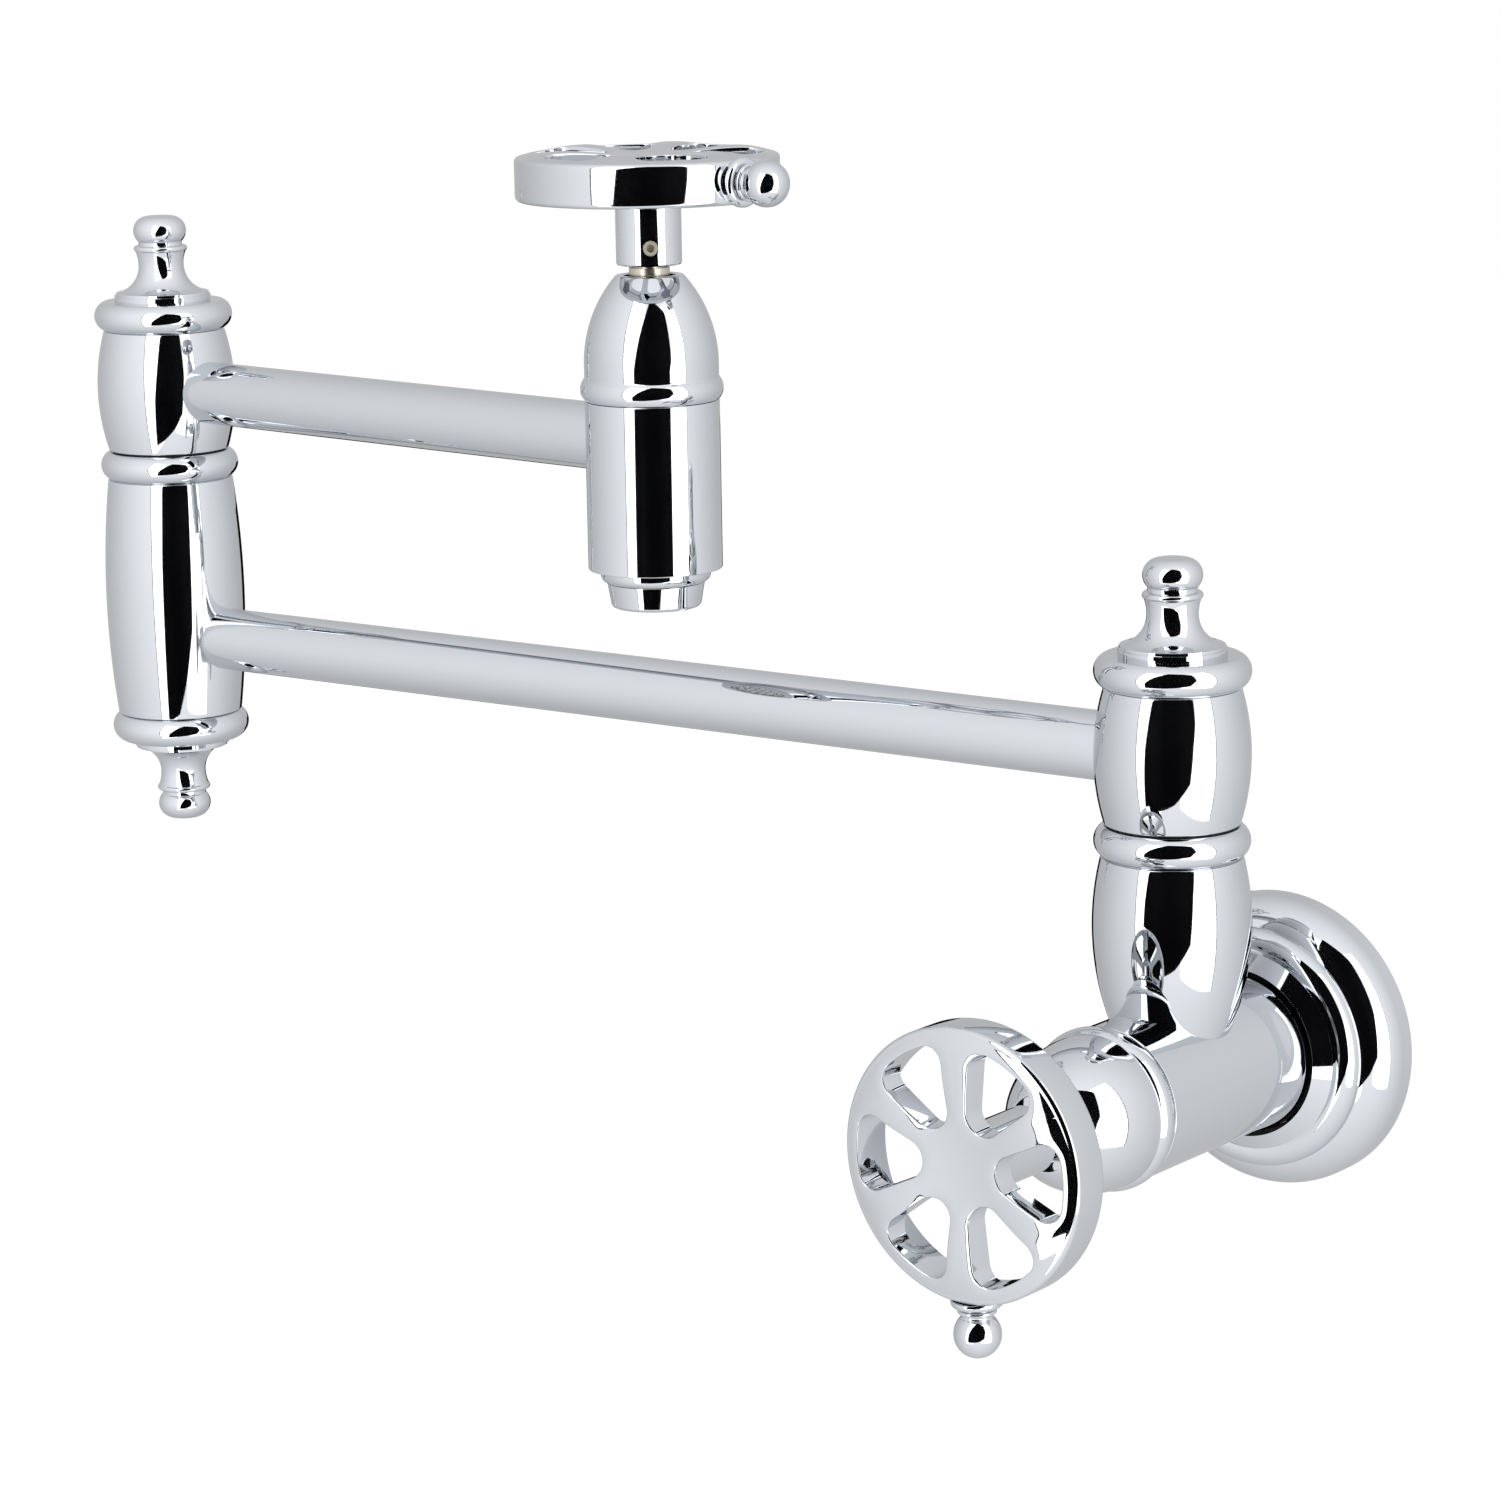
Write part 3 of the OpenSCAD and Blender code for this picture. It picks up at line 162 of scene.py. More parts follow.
def keep(name, bm, place, body, nodes, material, weighted=True):
    """Makes the finished piece from a bmesh in mm, in its place on its body, and hides the frame's parts that
    it stands for.
    """
    bm.transform(Matrix.Scale(MM, 4) @ place)
    for face in bm.faces:
        face.smooth = True
    for edge in bm.edges:
        edge.smooth = len(edge.link_faces) != 2 or edge.calc_face_angle() < SHARP_ANGLE
    mesh = bpy.data.meshes.new(name)
    bm.to_mesh(mesh)
    bm.free()
    piece = bpy.data.objects.new(name, mesh)
    bpy.context.scene.collection.objects.link(piece)
    mesh.materials.append(material)
    if weighted:
        normals = piece.modifiers.new("flat faces stay flat", "WEIGHTED_NORMAL")
        normals.keep_sharp = True
    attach(piece, body)
    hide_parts(*nodes)
    return piece


INLET_AXIS = Matrix.Rotation(math.radians(90), 4, "X")

bm = turned(
    [(FLANGE_FOOT_R - FLANGE_FOOT_BEVEL, 0), (FLANGE_FOOT_R, FLANGE_FOOT_BEVEL)]
    + arc(*FLANGE_ROLL, *FLANGE_ROLL_ANGLES, steps=32)
    + arc(*FLANGE_BEAD, *FLANGE_BEAD_ANGLES)
    + [(FLANGE_HOLE_R, FLANGE_LENGTH), (FLANGE_HOLE_R, 0), (FLANGE_SLEEVE_R, 0)]
    + arc(*FLANGE_HOLLOW, *FLANGE_HOLLOW_ANGLES, steps=16)
    + [(FLANGE_HOLLOW[0] + FLANGE_HOLLOW[2], 0)]
)
soften(bm)
keep("flange_bell", bm, INLET_AXIS, "wall_body", ["wall_flange"], polished_chrome)

# Valve body: a turned brass barrel along the inlet, with a slightly flared tail and a threaded neck in front.
# The post is brazed on top of it.
BODY_TAIL_R, BODY_R, BODY_NECK_R = 21.4, 20.5, 16.4
BODY_REAR, BODY_FLARE_START, BODY_FLARE_END, BODY_LENGTH, BODY_NECK_END = 1, 23.6, 34, 84, 96
BODY_FLARE_SWEEP, BODY_FLARE_STEPS = 60.54, 16
CHAMBER_R, CHAMBER_START, PASSAGE_R, INLET_R, INLET_END = 11, 44, 6.9, 9.2, 17

flare_l = BODY_FLARE_END - BODY_FLARE_START
flare = [BODY_FLARE_START + flare_l * i / BODY_FLARE_STEPS for i in range(BODY_FLARE_STEPS + 1)]
bm = turned(
    [(BODY_TAIL_R, BODY_REAR)]
    + [(BODY_R + BODY_FLARE_SWEEP - math.sqrt(BODY_FLARE_SWEEP**2 - (BODY_FLARE_END - z) ** 2), z)
       for z in flare]
    + [(BODY_R, BODY_LENGTH), (BODY_NECK_R, BODY_LENGTH), (BODY_NECK_R, BODY_NECK_END)]
    + [(CHAMBER_R, BODY_NECK_END), (CHAMBER_R, CHAMBER_START), (PASSAGE_R, CHAMBER_START)]
    + [(PASSAGE_R, INLET_END), (INLET_R, INLET_END), (INLET_R, BODY_REAR)]
)
soften(bm)
keep("body_barrel", bm, INLET_AXIS, "wall_body", ["valve_body"], polished_chrome)

# Post: a turned vase shape on the valve body, with a ring on top that the first swivel joint turns on.
# Its foot runs down into the body, where it is brazed.
POST_PLACE = (0, -54.9)
POST_BELLY_R, POST_BELLY_Z, POST_BULGE, POST_FOOT = 20.5, 41.5, 75, 12
RING_CORE_R, RING_EDGE_R, RING_H = 15.6, 4.5, 8.2
SPINDLE_BORE_R, SPINDLE_GRIP = 9.05, 22
LOWER_TUBE_Z, BARREL_H, WASHER_T = 85.9, 35.3, 0.4


def bulge(widest_r, widest_z, sweep, start, end, steps=40):
    """Points of a long shallow arc that is widest at one height."""
    heights = [start + (end - start) * i / steps for i in range(steps + 1)]
    return [(widest_r - sweep + math.sqrt(sweep**2 - (z - widest_z) ** 2), z) for z in heights]


def ring(foot, core_r=RING_CORE_R, edge_r=RING_EDGE_R, height=RING_H):
    """Points of a ring's round edge between two flat faces."""
    tilt = math.degrees(math.asin(height / 2 / edge_r))
    return arc(core_r, foot + height / 2, edge_r, -tilt, tilt, steps=28)


post_seat = LOWER_TUBE_Z - BARREL_H / 2 - WASHER_T
bm = turned(
    bulge(POST_BELLY_R, POST_BELLY_Z, POST_BULGE, POST_FOOT, post_seat - RING_H)
    + ring(post_seat - RING_H)
    + [(SPINDLE_BORE_R, post_seat), (SPINDLE_BORE_R, post_seat - SPINDLE_GRIP)]
    + [(PASSAGE_R, post_seat - SPINDLE_GRIP), (PASSAGE_R, POST_FOOT)]
)
soften(bm)
keep("post_vase", bm, Matrix.Translation((*POST_PLACE, 0)), "wall_body", ["swivel_post"],
     polished_chrome)

# Short barrels: turned brass, one at each swivel joint, bored for the spindle and soldered to a tube.
# Each is widest at its middle, where the tube enters.
BARREL_BELLY_R, BARREL_SWEEP = 20.1, 61.2
BARREL_BORE_R, BARREL_CHAMBER_R, BARREL_CHAMBER_H = 9.06, 13, 15
RECESS_R, RECESS_DEPTH = 14, 2.8
LOWER_ARM_L, UPPER_ARM_L = 341.5, 198.4
LOWER_BEARING, UPPER_BEARING = math.radians(183), math.radians(-4)
UPPER_TUBE_Z = LOWER_TUBE_Z + 73.2
ELBOW_PLACE = (LOWER_ARM_L * math.cos(LOWER_BEARING),
               POST_PLACE[1] + LOWER_ARM_L * math.sin(LOWER_BEARING))
SPOUT_PLACE = (ELBOW_PLACE[0] + UPPER_ARM_L * math.cos(UPPER_BEARING),
               ELBOW_PLACE[1] + UPPER_ARM_L * math.sin(UPPER_BEARING))
BASE_SWIVEL = Matrix.Translation((*POST_PLACE, LOWER_TUBE_Z))
ELBOW_SWIVEL = Matrix.Translation((*ELBOW_PLACE, UPPER_TUBE_Z))

for name, swivel, body in (("base_barrel", BASE_SWIVEL, "lower_arm"),
                           ("elbow_upper_barrel", ELBOW_SWIVEL, "upper_arm")):
    bm = turned(
        bulge(BARREL_BELLY_R, 0, BARREL_SWEEP, -BARREL_H / 2, BARREL_H / 2)
        + [(RECESS_R, BARREL_H / 2), (RECESS_R, BARREL_H / 2 - RECESS_DEPTH)]
        + [(BARREL_BORE_R, BARREL_H / 2 - RECESS_DEPTH), (BARREL_BORE_R, BARREL_CHAMBER_H / 2)]
        + [(BARREL_CHAMBER_R, BARREL_CHAMBER_H / 2), (BARREL_CHAMBER_R, -BARREL_CHAMBER_H / 2)]
        + [(BARREL_BORE_R, -BARREL_CHAMBER_H / 2), (BARREL_BORE_R, -BARREL_H / 2)]
    )
    soften(bm)
    keep(name + "_shell", bm, swivel, body, [name], polished_chrome)

# Rings over the short barrels: turned caps that screw down on the barrel and hide the spindle nut.
# Their edge is a full round, like the ring under each barrel.
WEB_T, WEB_HOLE_R, RING_HOLLOW_R, SPIGOT_R = 2.6, 4.05, 12.3, 13.95

for name, swivel, body in (("base_collar", BASE_SWIVEL, "lower_arm"),
                           ("elbow_top_collar", ELBOW_SWIVEL, "upper_arm")):
    foot = BARREL_H / 2
    bm = turned(
        ring(foot)
        + [(WEB_HOLE_R, foot + RING_H), (WEB_HOLE_R, foot + RING_H - WEB_T)]
        + [(RING_HOLLOW_R, foot + RING_H - WEB_T), (RING_HOLLOW_R, foot - RECESS_DEPTH / 2)]
        + [(SPIGOT_R, foot - RECESS_DEPTH / 2), (SPIGOT_R, foot)]
    )
    soften(bm)
    keep(name + "_ring", bm, swivel, body, [name], polished_chrome)

# Finials: small turned vases with a lip and a button tip, one over each joint and one under the elbow.
# A stud at the foot screws into the ring.
FINIAL_PLATE = (14, 1.8, 0.5)
FINIAL_NECK_R, FINIAL_NECK_Z = 6.6, 10.4
FINIAL_COVE_R = 7.9
FINIAL_VASE_R, FINIAL_VASE_ANGLES = 11.8, (179, 159.6)
FINIAL_LIP, FINIAL_LIP_ANGLES = (6.9, 15.3, 0.9), (-60, 90)
FINIAL_GROOVE_R = 6.4
FINIAL_TIP = (3.4, 20.4, 4.3)
FINIAL_STUD_R, FINIAL_STUD_L, LONG_STUD_L = 4, 2.6, 11.8
FINIAL_EDGE = 0.25
ELBOW_FOOT_Z = 62.95


def finial(stud_l):
    """A finial standing on its plate, with a stud of this length under it."""
    plate_r, plate_h, plate_step = FINIAL_PLATE
    cove_r = plate_r - plate_step
    cove_tilt = math.degrees(math.acos((FINIAL_NECK_R + FINIAL_COVE_R - cove_r) / FINIAL_COVE_R))
    groove_tilt = math.degrees(math.acos((FINIAL_GROOVE_R - FINIAL_TIP[0]) / FINIAL_TIP[2]))
    return turned(
        [(0, -stud_l), (FINIAL_STUD_R, -stud_l), (FINIAL_STUD_R, 0), (plate_r, 0), (plate_r, plate_h)]
        + [(cove_r, plate_h)]
        + arc(FINIAL_NECK_R + FINIAL_COVE_R, FINIAL_NECK_Z, FINIAL_COVE_R, 180 + cove_tilt, 180, steps=28)
        + arc(FINIAL_NECK_R + FINIAL_VASE_R, FINIAL_NECK_Z, FINIAL_VASE_R, *FINIAL_VASE_ANGLES, steps=14)
        + arc(*FINIAL_LIP, *FINIAL_LIP_ANGLES, steps=14)
        + [(FINIAL_GROOVE_R, FINIAL_LIP[1] + FINIAL_LIP[2])]
        + arc(*FINIAL_TIP, -groove_tilt, 90, steps=26)
        + [(0, FINIAL_TIP[1] + FINIAL_TIP[2])],
        closed=False,
    )


ring_top = Matrix.Translation((0, 0, BARREL_H / 2 + RING_H))
upside_down = Matrix.Translation((*ELBOW_PLACE, ELBOW_FOOT_Z - RING_H)) @ Matrix.Rotation(math.pi, 4, "X")
for name, place, stud_l, body in (
    ("base_finial", BASE_SWIVEL @ ring_top, FINIAL_STUD_L, "lower_arm"),
    ("elbow_top_finial", ELBOW_SWIVEL @ ring_top, FINIAL_STUD_L, "upper_arm"),
    ("elbow_bottom_finial", upside_down, LONG_STUD_L, "lower_arm"),
):
    bm = finial(stud_l)
    soften(bm, FINIAL_EDGE)
    keep(name + "_vase", bm, place, body, [name], polished_chrome)

# Elbow column: a long turned barrel that the lower tube is soldered into, with the second joint's ring on top
# and a loose ring under it that the bottom finial clamps.
COLUMN_BELLY_R, COLUMN_SWEEP, COLUMN_H = 20.4, 278.7, 69.9
COLUMN_FLOOR, COLUMN_CHAMBER_H, COLUMN_STUD_GRIP = 5, 42, 3.6

column_top = ELBOW_FOOT_Z + COLUMN_H
elbow_seat = column_top + RING_H
floor_z = ELBOW_FOOT_Z + COLUMN_FLOOR
roof_z = floor_z + COLUMN_CHAMBER_H
bm = turned(
    [(0, ELBOW_FOOT_Z + COLUMN_STUD_GRIP), (WEB_HOLE_R, ELBOW_FOOT_Z + COLUMN_STUD_GRIP)]
    + [(WEB_HOLE_R, ELBOW_FOOT_Z)]
    + bulge(COLUMN_BELLY_R, ELBOW_FOOT_Z + COLUMN_H / 2, COLUMN_SWEEP, ELBOW_FOOT_Z, column_top)
    + ring(column_top)
    + [(SPINDLE_BORE_R, elbow_seat), (SPINDLE_BORE_R, elbow_seat - SPINDLE_GRIP)]
    + [(PASSAGE_R, elbow_seat - SPINDLE_GRIP), (PASSAGE_R, roof_z), (BARREL_CHAMBER_R, roof_z)]
    + [(BARREL_CHAMBER_R, floor_z), (0, floor_z)],
    closed=False,
)
soften(bm)
keep("elbow_column", bm, Matrix.Translation((*ELBOW_PLACE, 0)), "lower_arm", ["elbow_lower_barrel"],
     polished_chrome)

bm = turned(ring(ELBOW_FOOT_Z - RING_H) + [(WEB_HOLE_R, ELBOW_FOOT_Z), (WEB_HOLE_R, ELBOW_FOOT_Z - RING_H)])
soften(bm)
keep("elbow_bottom_ring", bm, Matrix.Translation((*ELBOW_PLACE, 0)), "lower_arm", ["elbow_bottom_collar"],
     polished_chrome)

# Arm tubes: straight drawn brass tube, 18 mm across, soldered at both ends.
# The lower one runs from the base to the elbow, the upper one from the elbow to the spout.
TUBE_R, TUBE_BORE_R = 9, 7.6
TUBE_START, SPOUT_SOCKET = 14, 12

for name, swivel, bearing, end, body in (
    ("lower_tube", BASE_SWIVEL, LOWER_BEARING, LOWER_ARM_L - TUBE_START, "lower_arm"),
    ("upper_tube", ELBOW_SWIVEL, UPPER_BEARING, UPPER_ARM_L - SPOUT_SOCKET, "upper_arm"),
):
    bm = turned([(TUBE_R, TUBE_START), (TUBE_R, end), (TUBE_BORE_R, end), (TUBE_BORE_R, TUBE_START)])
    aim = Matrix.Rotation(bearing, 4, "Z") @ Matrix.Rotation(math.radians(90), 4, "Y")
    keep(name + "_drawn", bm, swivel @ aim, body, [name], polished_chrome)

# Spout: a turned upright cylinder that holds the second valve above the tube and the aerator below.
# A small rounded shoulder at its foot surrounds the aerator's thread.
SPOUT_R, SPOUT_FOOT_Z, SPOUT_TOP_Z = 17.9, 125.5, 170.5
SHOULDER_R, SHOULDER_FOOT_Z, SHOULDER_ROUND = 14.7, 121.8, 2.3
SPOUT_NECK_R, SPOUT_NECK_Z, SPOUT_SEAT_Z = 14, 182.5, 145.9
AERATOR_BORE_R, AERATOR_SEAT_Z = 12.05, 133

bm = turned(
    arc(SHOULDER_R - SHOULDER_ROUND, SHOULDER_FOOT_Z + SHOULDER_ROUND, SHOULDER_ROUND, -90, 0, steps=10)
    + [(SHOULDER_R, SPOUT_FOOT_Z), (SPOUT_R, SPOUT_FOOT_Z), (SPOUT_R, SPOUT_TOP_Z)]
    + [(SPOUT_NECK_R, SPOUT_TOP_Z), (SPOUT_NECK_R, SPOUT_NECK_Z), (CHAMBER_R, SPOUT_NECK_Z)]
    + [(CHAMBER_R, SPOUT_SEAT_Z), (PASSAGE_R, SPOUT_SEAT_Z), (PASSAGE_R, AERATOR_SEAT_Z)]
    + [(AERATOR_BORE_R, AERATOR_SEAT_Z), (AERATOR_BORE_R, SHOULDER_FOOT_Z)]
)
soften(bm)
SPOUT_AXIS = Matrix.Translation((*SPOUT_PLACE, 0))
keep("spout_cylinder", bm, SPOUT_AXIS, "upper_arm", ["spout_body"], polished_chrome)

# Aerator: a plated housing that screws up into the spout.
# Its tapered skirt shows below the shoulder and is left bare all round.
SKIRT_FOOT_Z, SKIRT_TOP_R, SKIRT_FOOT_R, SKIRT_BEVEL = 115.2, 13, 12, 0.7
AERATOR_LIP_R, AERATOR_WATER_R, AERATOR_LIP_H = 8.6, 9.6, 1.7
AERATOR_THREAD_R, AERATOR_THREAD_Z = 12, 131
AERATOR_EDGE = 0.2

bm = turned([
    (AERATOR_LIP_R, SKIRT_FOOT_Z), (SKIRT_FOOT_R - SKIRT_BEVEL, SKIRT_FOOT_Z),
    (SKIRT_FOOT_R, SKIRT_FOOT_Z + SKIRT_BEVEL), (SKIRT_TOP_R, SHOULDER_FOOT_Z),
    (AERATOR_THREAD_R, SHOULDER_FOOT_Z), (AERATOR_THREAD_R, AERATOR_THREAD_Z),
    (AERATOR_WATER_R, AERATOR_THREAD_Z), (AERATOR_WATER_R, SKIRT_FOOT_Z + AERATOR_LIP_H),
    (AERATOR_LIP_R, SKIRT_FOOT_Z + AERATOR_LIP_H),
])
soften(bm, AERATOR_EDGE)
keep("aerator_skirt", bm, SPOUT_AXIS, "upper_arm", ["aerator_housing"], polished_chrome)

# Bonnets: turned domes that screw over each valve's neck and clamp its cartridge.
# Each starts with a round bead and closes to a small flat with a hole for the stem.
BEAD_EDGE_R, BEAD_H, LEDGE_H = 4.2, 6.2, 14
BONNET_SPACE_R, BONNET_HOLE_R, BONNET_LIP_T = 10.4, 6.9, 6
FRONT_BONNET = {"bead_r": 21.3, "dome_r": 20, "height": 29.4, "sweep": 27.8, "thread_r": 16.45}
SPOUT_BONNET = {"bead_r": 19, "dome_r": 17.85, "height": 33, "sweep": 35.4, "thread_r": 14.05}


def bonnet(bead_r, dome_r, height, sweep, thread_r):
    """A bonnet standing on its bead, with the dome's side drawn by an arc of the sweep's radius."""
    core_r = bead_r - BEAD_EDGE_R
    bead_tilt = math.degrees(math.asin(BEAD_H / 2 / BEAD_EDGE_R))
    bead_end = math.degrees(math.acos((dome_r - core_r) / BEAD_EDGE_R))
    rise = math.sqrt(sweep**2 - (sweep - dome_r / 2) ** 2)
    dome_end = math.degrees(math.asin(rise / sweep))
    return turned(
        arc(core_r, BEAD_H / 2, BEAD_EDGE_R, -bead_tilt, bead_end, steps=20)
        + arc(dome_r - sweep, height - rise, sweep, 0, dome_end, steps=36)
        + [(BONNET_HOLE_R, height), (BONNET_HOLE_R, height - BONNET_LIP_T)]
        + [(BONNET_SPACE_R, height - BONNET_LIP_T), (BONNET_SPACE_R, LEDGE_H)]
        + [(thread_r, LEDGE_H), (thread_r, 0)]
    )


for name, sizes, place, body in (
    ("front_bonnet", FRONT_BONNET, INLET_AXIS @ Matrix.Translation((0, 0, BODY_LENGTH)), "wall_body"),
    ("spout_bonnet", SPOUT_BONNET, SPOUT_AXIS @ Matrix.Translation((0, 0, SPOUT_TOP_Z)), "upper_arm"),
):
    bm = bonnet(**sizes)
    soften(bm)
    keep(name + "_dome", bm, place, body, [name], polished_chrome)

# Wheel handles: cast brass, six spokes, buffed so that the rim swells to a crest and the hub lies lower, and
# the edges of the six openings roll over. The back is hollow behind the spokes, the neck bored for the stem.
WHEEL_R, RIM_T, RIM_EDGE, RIM_INNER_R = 34.8, 11.5, 1.3, 31.0
NECK_R, NECK_L, NECK_BEVEL, NECK_FILLET = 8.7, 17.2, 0.4, 1.0
NECK_BORE_R, NECK_BORE_L, NECK_BORE_CENTRE = 4.25, 18, 0.01
CREST_R, FACE_RISE, BACK_DEPTH = 24.0, 1.55, 5.4
SPOKES, SPOKE_W, SPOKE_RIM_W = 6, 5.7, 7.9
OPENING_R, TIP_ROUND, CORNER_ROUND = 30.6, 5.2, 4.5
OPENING_EDGE, OPENING_SLOPE = 0.35, 0.25
SET_SCREW_HOLE_R, SET_SCREW_Z, SET_SCREW_BEARING = 2.05, 4.8, math.radians(-41)
WHEEL_SEATS = {"front": 119.4, "spout": 206.2}
WHEEL_TURNS = {"front": math.radians(-88.7), "spout": math.radians(-6)}
RIM_SIDE_STEPS, CORNER_STEPS, TIP_STEPS, STRAIGHT_STEPS, STRAIGHT_MIN_L = 24, 20, 36, 14, 1
ROLL_ROWS, FACE_ROWS, EDGE_STEPS, FILLET_STEPS, WALL_STEPS, HOLE_STEPS = 7, 9, 8, 6, 96, 48
# Seams close within these distances, and edges are told apart within these slacks.
SPOKE_SEAM, WALL_SEAM = 0.004, 0.02
RIM_SLACK, WEB_SLACK, WALL_SLACK, SIDEWAYS = 0.05, 0.01, 0.003, 1e-6

half_share = math.pi / SPOKES
face_edge_r = WHEEL_R - RIM_EDGE
face_edge_z = NECK_L + RIM_T
slope_w = face_edge_r - OPENING_R


def face_z(r):
    """How high the face stands: dished at the hub, highest at the crest, falling to the rim's edge."""
    if r < CREST_R:
        return face_edge_z + FACE_RISE * (1 - math.cos(math.pi * r / CREST_R)) / 2
    return face_edge_z + FACE_RISE * (1 - ((r - CREST_R) / (face_edge_r - CREST_R)) ** 2)


def opening_outline():
    """Places round one opening, each with the direction that points away from it into the metal."""
    tip = Vector(((SPOKE_W / 2 + TIP_ROUND) / math.sin(half_share), 0))
    corner_r = OPENING_R - CORNER_ROUND
    corner_a = half_share - math.asin((SPOKE_RIM_W / 2 + CORNER_ROUND) / corner_r)
    corner = Vector((corner_r * math.cos(corner_a), corner_r * math.sin(corner_a)))
    to_corner = corner - tip
    side_a = math.atan2(to_corner.y, to_corner.x)
    side_a += math.acos((TIP_ROUND - CORNER_ROUND) / to_corner.length)
    rounds = (
        ((0, 0), OPENING_R, -corner_a, corner_a, RIM_SIDE_STEPS),
        (corner, CORNER_ROUND, corner_a, side_a, CORNER_STEPS),
        (tip, TIP_ROUND, side_a, math.tau - side_a, TIP_STEPS),
        ((corner.x, -corner.y), CORNER_ROUND, -side_a, -corner_a, CORNER_STEPS),
    )
    outline = []
    for (cx, cy), r, start, end, steps in rounds:
        bend = []
        for i in range(steps + 1):
            a = start + (end - start) * i / steps
            way = Vector((math.cos(a), math.sin(a)))
            bend.append((Vector((cx + r * way.x, cy + r * way.y)), way))
        first, way = bend[0]
        straight = outline and (first - outline[-1][0]).length > STRAIGHT_MIN_L
        if straight:
            last = outline[-1][0]
            outline += [(last.lerp(first, i / STRAIGHT_STEPS), way) for i in range(1, STRAIGHT_STEPS)]
        outline += bend if not outline or straight else bend[1:]
    return outline[:-1]


def reach(point, way):
    """How far a line runs from an opening's edge to a spoke's middle or to the rim's rounded edge."""
    across_rim = point.dot(way)
    lengths = [-across_rim + math.sqrt(across_rim**2 + face_edge_r**2 - point.length_squared)]
    for side in (1, -1):
        middle = Vector((-math.sin(half_share), side * math.cos(half_share)))
        closing = way.dot(middle)
        if closing > SIDEWAYS:
            lengths.append(-point.dot(middle) / closing)
    return min(length for length in lengths if length > 0)


def on_face(point, spot, drop):
    """A place on the face over a spot, lowered where the spot is near the edge of its opening."""
    drop += OPENING_SLOPE * (1 - min((spot - point).length / slope_w, 1)) ** 2
    return Vector((*spot, face_z(spot.length) - drop))


def cast_face():
    """The wheel's cast part: each opening's wall, rolled edge and share of the face, six times round."""
    bm = bmesh.new()
    outline = opening_outline()
    ends = [point + way * reach(point, way) for point, way in outline]
    for side in (1, -1):
        rim_end = Vector((math.cos(half_share), side * math.sin(half_share))) * face_edge_r
        ends[min(range(len(ends)), key=lambda i: (ends[i] - rim_end).length)] = rim_end
    rows = [[Vector((*point, NECK_L + BACK_DEPTH)) for point, way in outline]]
    for k in range(ROLL_ROWS + 1):
        angle = k / ROLL_ROWS * math.pi / 2
        out, drop = OPENING_EDGE * (1 - math.cos(angle)), OPENING_EDGE * (1 - math.sin(angle))
        rows.append([on_face(point, point + way * out, drop) for point, way in outline])
    for k in range(1, FACE_ROWS + 1):
        rows.append([on_face(point, (point + way * OPENING_EDGE).lerp(end, k / FACE_ROWS), 0)
                     for (point, way), end in zip(outline, ends)])
    for opening in range(SPOKES):
        turn = Matrix.Rotation((2 * opening + 1) * half_share, 3, "Z")
        loops = [[bm.verts.new(turn @ place) for place in row] for row in rows]
        for a, b in zip(loops, loops[1:]):
            for i in range(len(a)):
                bm.faces.new((a[i - 1], a[i], b[i], b[i - 1]))
    bmesh.ops.remove_doubles(bm, verts=bm.verts, dist=SPOKE_SEAM)
    return bm


def close_wheel(bm):
    """Joins the rim's side and back, the hollow behind the spokes and the neck to the cast face."""
    outer = [e for e in bm.edges
             if e.is_boundary and min(v.co.xy.length for v in e.verts) > face_edge_r - RIM_SLACK]
    side = arc(face_edge_r, face_edge_z - RIM_EDGE, RIM_EDGE, 90, 0, EDGE_STEPS)[1:]
    side += arc(face_edge_r, NECK_L + RIM_EDGE, RIM_EDGE, 0, -90, EDGE_STEPS)
    for r, z in side:
        made = bmesh.ops.extrude_edge_only(bm, edges=outer)["geom"]
        outer = [g for g in made if isinstance(g, bmesh.types.BMEdge)]
        for vert in (g for g in made if isinstance(g, bmesh.types.BMVert)):
            flat = vert.co.xy.normalized() * r
            vert.co = (flat.x, flat.y, z)
    web_z = NECK_L + BACK_DEPTH
    back = [e for e in bm.edges if e.is_boundary and max(abs(v.co.z - web_z) for v in e.verts) < WEB_SLACK]

    def wall(points):
        """Spins a wall between flat faces, and gives its first and last loops of edges."""
        line = [bm.verts.new((r, 0, z)) for r, z in points]
        wires = [bm.edges.new(pair) for pair in zip(line, line[1:])]
        bmesh.ops.spin(bm, geom=line + wires, axis=(0, 0, 1), cent=(0, 0, 0), angle=math.tau,
                       steps=WALL_STEPS, use_merge=True)
        loops = []
        for r, z in (points[0], points[-1]):
            loops.append([e for e in bm.edges if all(
                abs(v.co.xy.length - r) < WALL_SLACK and abs(v.co.z - z) < WALL_SLACK for v in e.verts)])
        return loops

    rim_top, rim_foot = wall([(RIM_INNER_R, web_z), (RIM_INNER_R, NECK_L)])
    neck_root, _ = wall(
        arc(NECK_R + NECK_FILLET, web_z - NECK_FILLET, NECK_FILLET, 90, 180, FILLET_STEPS)
        + [(NECK_R, NECK_BEVEL), (NECK_R - NECK_BEVEL, 0), (NECK_BORE_R, 0), (NECK_BORE_R, NECK_BORE_L)]
        + [(NECK_BORE_R / 2, NECK_BORE_L), (NECK_BORE_CENTRE, NECK_BORE_L)]
    )
    down = (0, 0, -1)
    bmesh.ops.triangle_fill(bm, edges=back + rim_top + neck_root, use_beauty=True, normal=down)
    bmesh.ops.triangle_fill(bm, edges=outer + rim_foot, use_beauty=True, normal=down)
    bmesh.ops.remove_doubles(bm, verts=bm.verts, dist=WALL_SEAM)
    bmesh.ops.recalc_face_normals(bm, faces=bm.faces)
    return bm


